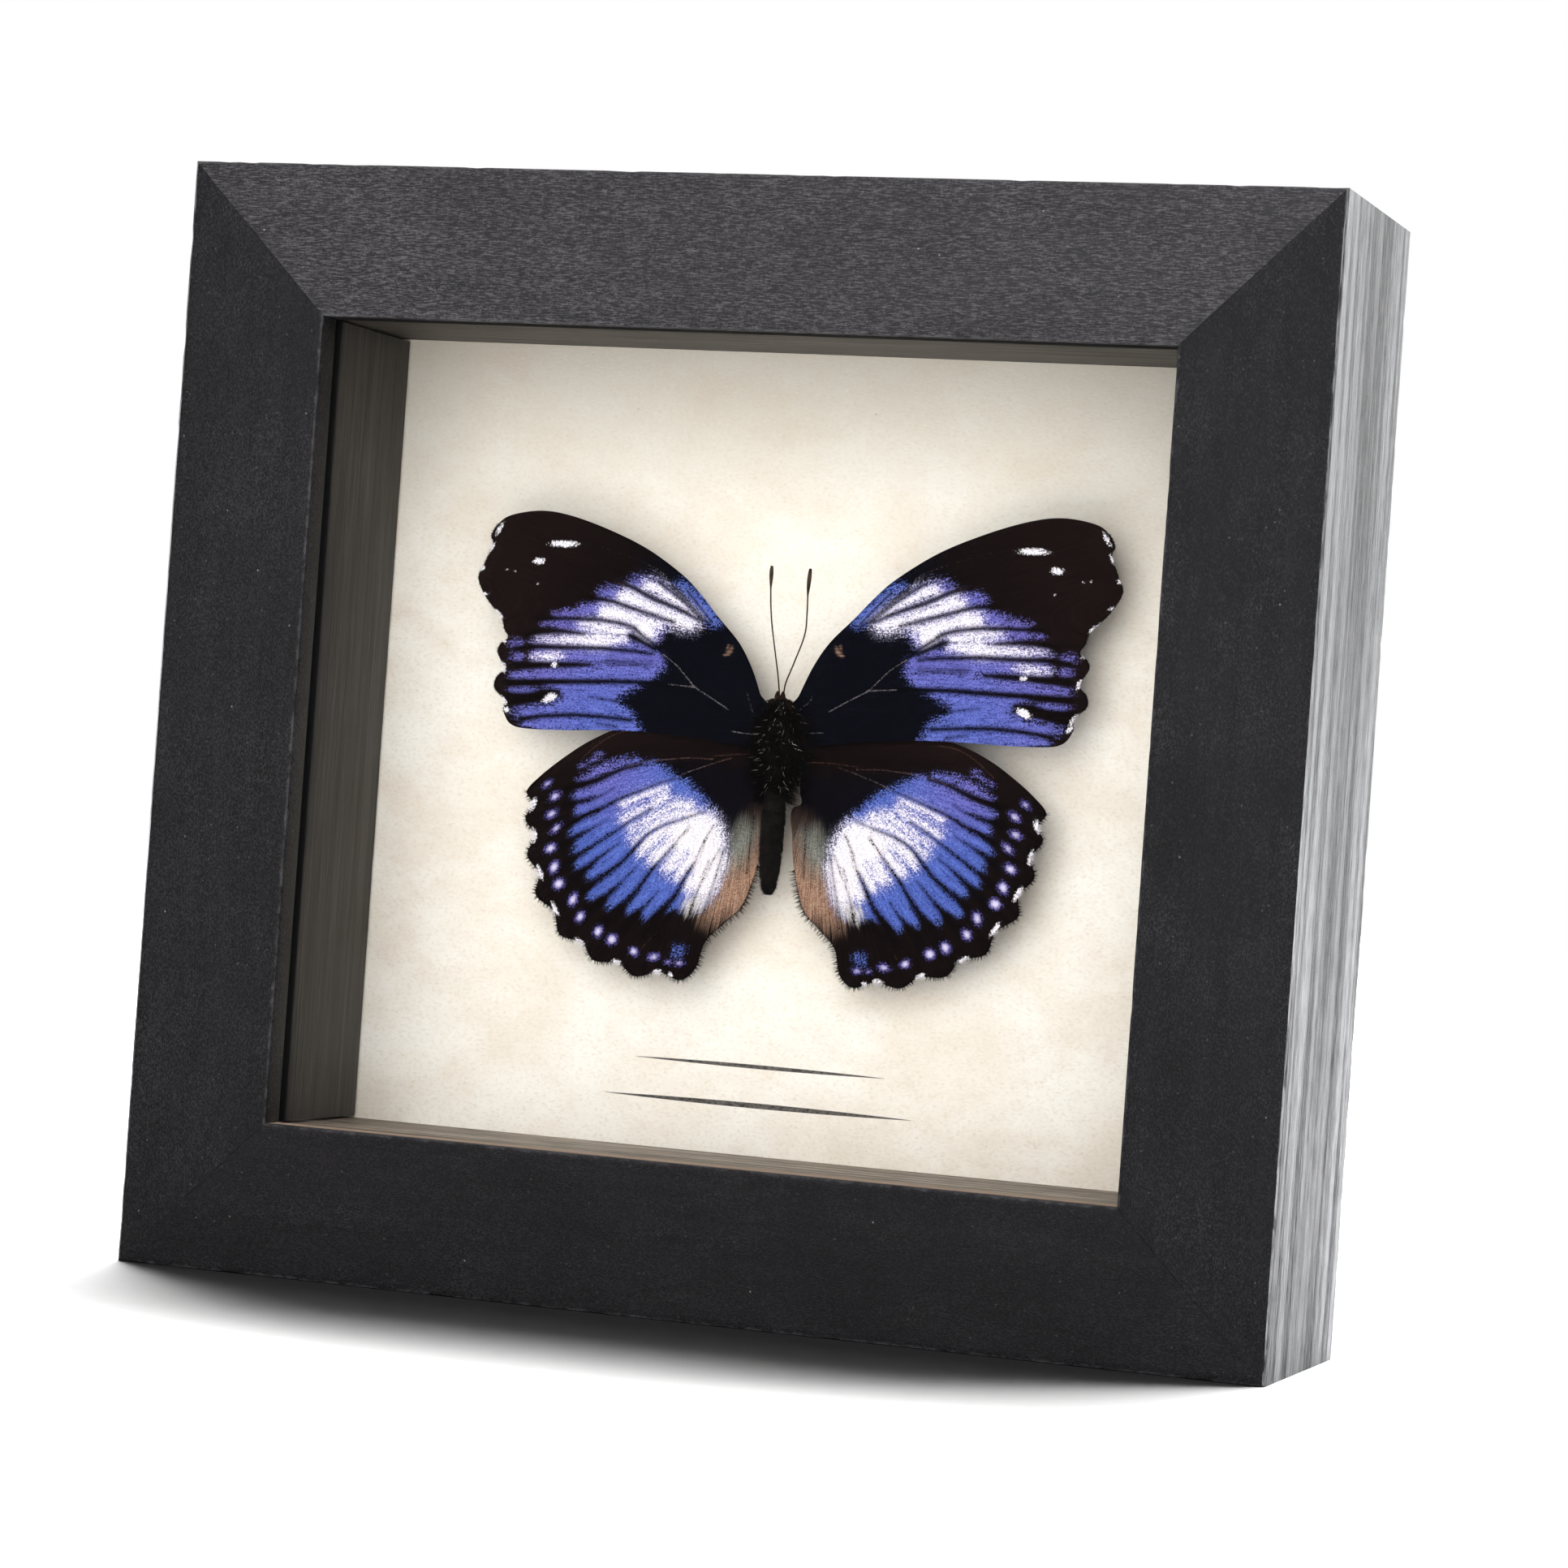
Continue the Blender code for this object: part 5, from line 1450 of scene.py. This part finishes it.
def aim(piece, place, target):
    piece.location = place
    piece.rotation_euler = (Vector(target) - Vector(place)).to_track_quat("-Z", "Y").to_euler()


def add_softbox(name, size, power, azimuth, elevation, distance):
    """A square lamp aimed at the frame. Azimuth 0 is straight in front, and turns to the right."""
    lamp = bpy.data.lights.new(name, "AREA")
    lamp.shape, lamp.size, lamp.energy = ("SQUARE", size, power)
    holder = link_object(name, lamp)
    a, e = (math.radians(azimuth), math.radians(elevation))
    way = Vector((math.sin(a) * math.cos(e), -math.cos(a) * math.cos(e), math.sin(e)))
    aim(holder, Vector((0, 0, MIDDLE_Z)) + way * distance, (0, 0, MIDDLE_Z))
    holder.visible_camera = False
    return holder


def light_only(lamp, name, pieces, include):
    """Limits a lamp to some pieces, or keeps it off them."""
    group = bpy.data.collections.new(name)
    for piece in pieces:
        group.objects.link(piece)
    lamp.light_linking.receiver_collection = group
    for member in group.collection_objects:
        member.light_linking.link_state = "INCLUDE" if include else "EXCLUDE"


def build_light(floor):
    key = add_softbox("key softbox", 1.2, 11.3, -6, 21, 1.2)
    fill = add_softbox("fill softbox", 2.2, 22.5, 12, 4, 1.6)
    for lamp in (key, fill):
        light_only(lamp, "unlit by the " + lamp.name, [floor, NODES["glass_pane"]], False)
    for side in (-1, 1):
        low = add_softbox("floor softbox", 0.7, 122.0, side * 152, 62, 1.5)
        light_only(low, "floor only", [floor], True)
    for lamp in (add_softbox("top softbox", 0.9, 5.0, 20, 78, 1.3),
                 add_softbox("back softbox", 1.0, 12.0, 168, 40, 1.4),
                 add_softbox("rim softbox", 0.8, 3.4, 166, 5, 1.4)):
        light_only(lamp, "unlit by the " + lamp.name, [floor], False)
    world = bpy.data.worlds.new("studio")
    bpy.context.scene.world = world
    world.use_nodes = True
    t = Tree(world.node_tree)
    back = world.node_tree.nodes["Background"]
    x, y, z = t.node("SeparateXYZ", {0: t.node("TexCoord").outputs["Generated"]}).outputs
    seen = t.remap(y, -0.05, 0.50, 0.02, 0.95, smooth=True)
    above = t.remap(z, 0.35, 0.95, 0.0, 0.12, smooth=True)
    level = t.math("MAXIMUM", seen, above)
    direct = t.node("LightPath").outputs["Is Camera Ray"]
    t.put(back.inputs["Strength"], t.math("MAXIMUM", level, direct))
    back.inputs["Color"].default_value = (1, 1, 1, 1)


SENSOR_WIDTH, FOCAL_LENGTH = (36.0, 105.38)
CAMERA_PLACE = (0.19288, -0.54683, 0.06301)
CAMERA_TURNS = ((19.06, "Z"), (90.37, "X"), (4.09, "Z"))


def build_camera():
    lens = bpy.data.cameras.new("camera")
    lens.sensor_width, lens.lens = (SENSOR_WIDTH, FOCAL_LENGTH)
    lens.clip_start, lens.clip_end = (0.01, 20.0)
    camera = link_object("camera", lens)
    turned = Matrix.Identity(4)
    for angle, axis in CAMERA_TURNS:
        turned = turned @ Matrix.Rotation(math.radians(angle), 4, axis)
    camera.matrix_world = Matrix.Translation(CAMERA_PLACE) @ turned
    bpy.context.scene.camera = camera


def main():
    build_camera()
    build_light(build_stage())
    build_frame()
    build_spacers()
    finish_cad_nodes()
    build_insect()
    view = bpy.context.scene.view_settings
    view.view_transform, view.look, view.exposure, view.gamma = ("Standard", "None", 0.0, 1.0)


main()
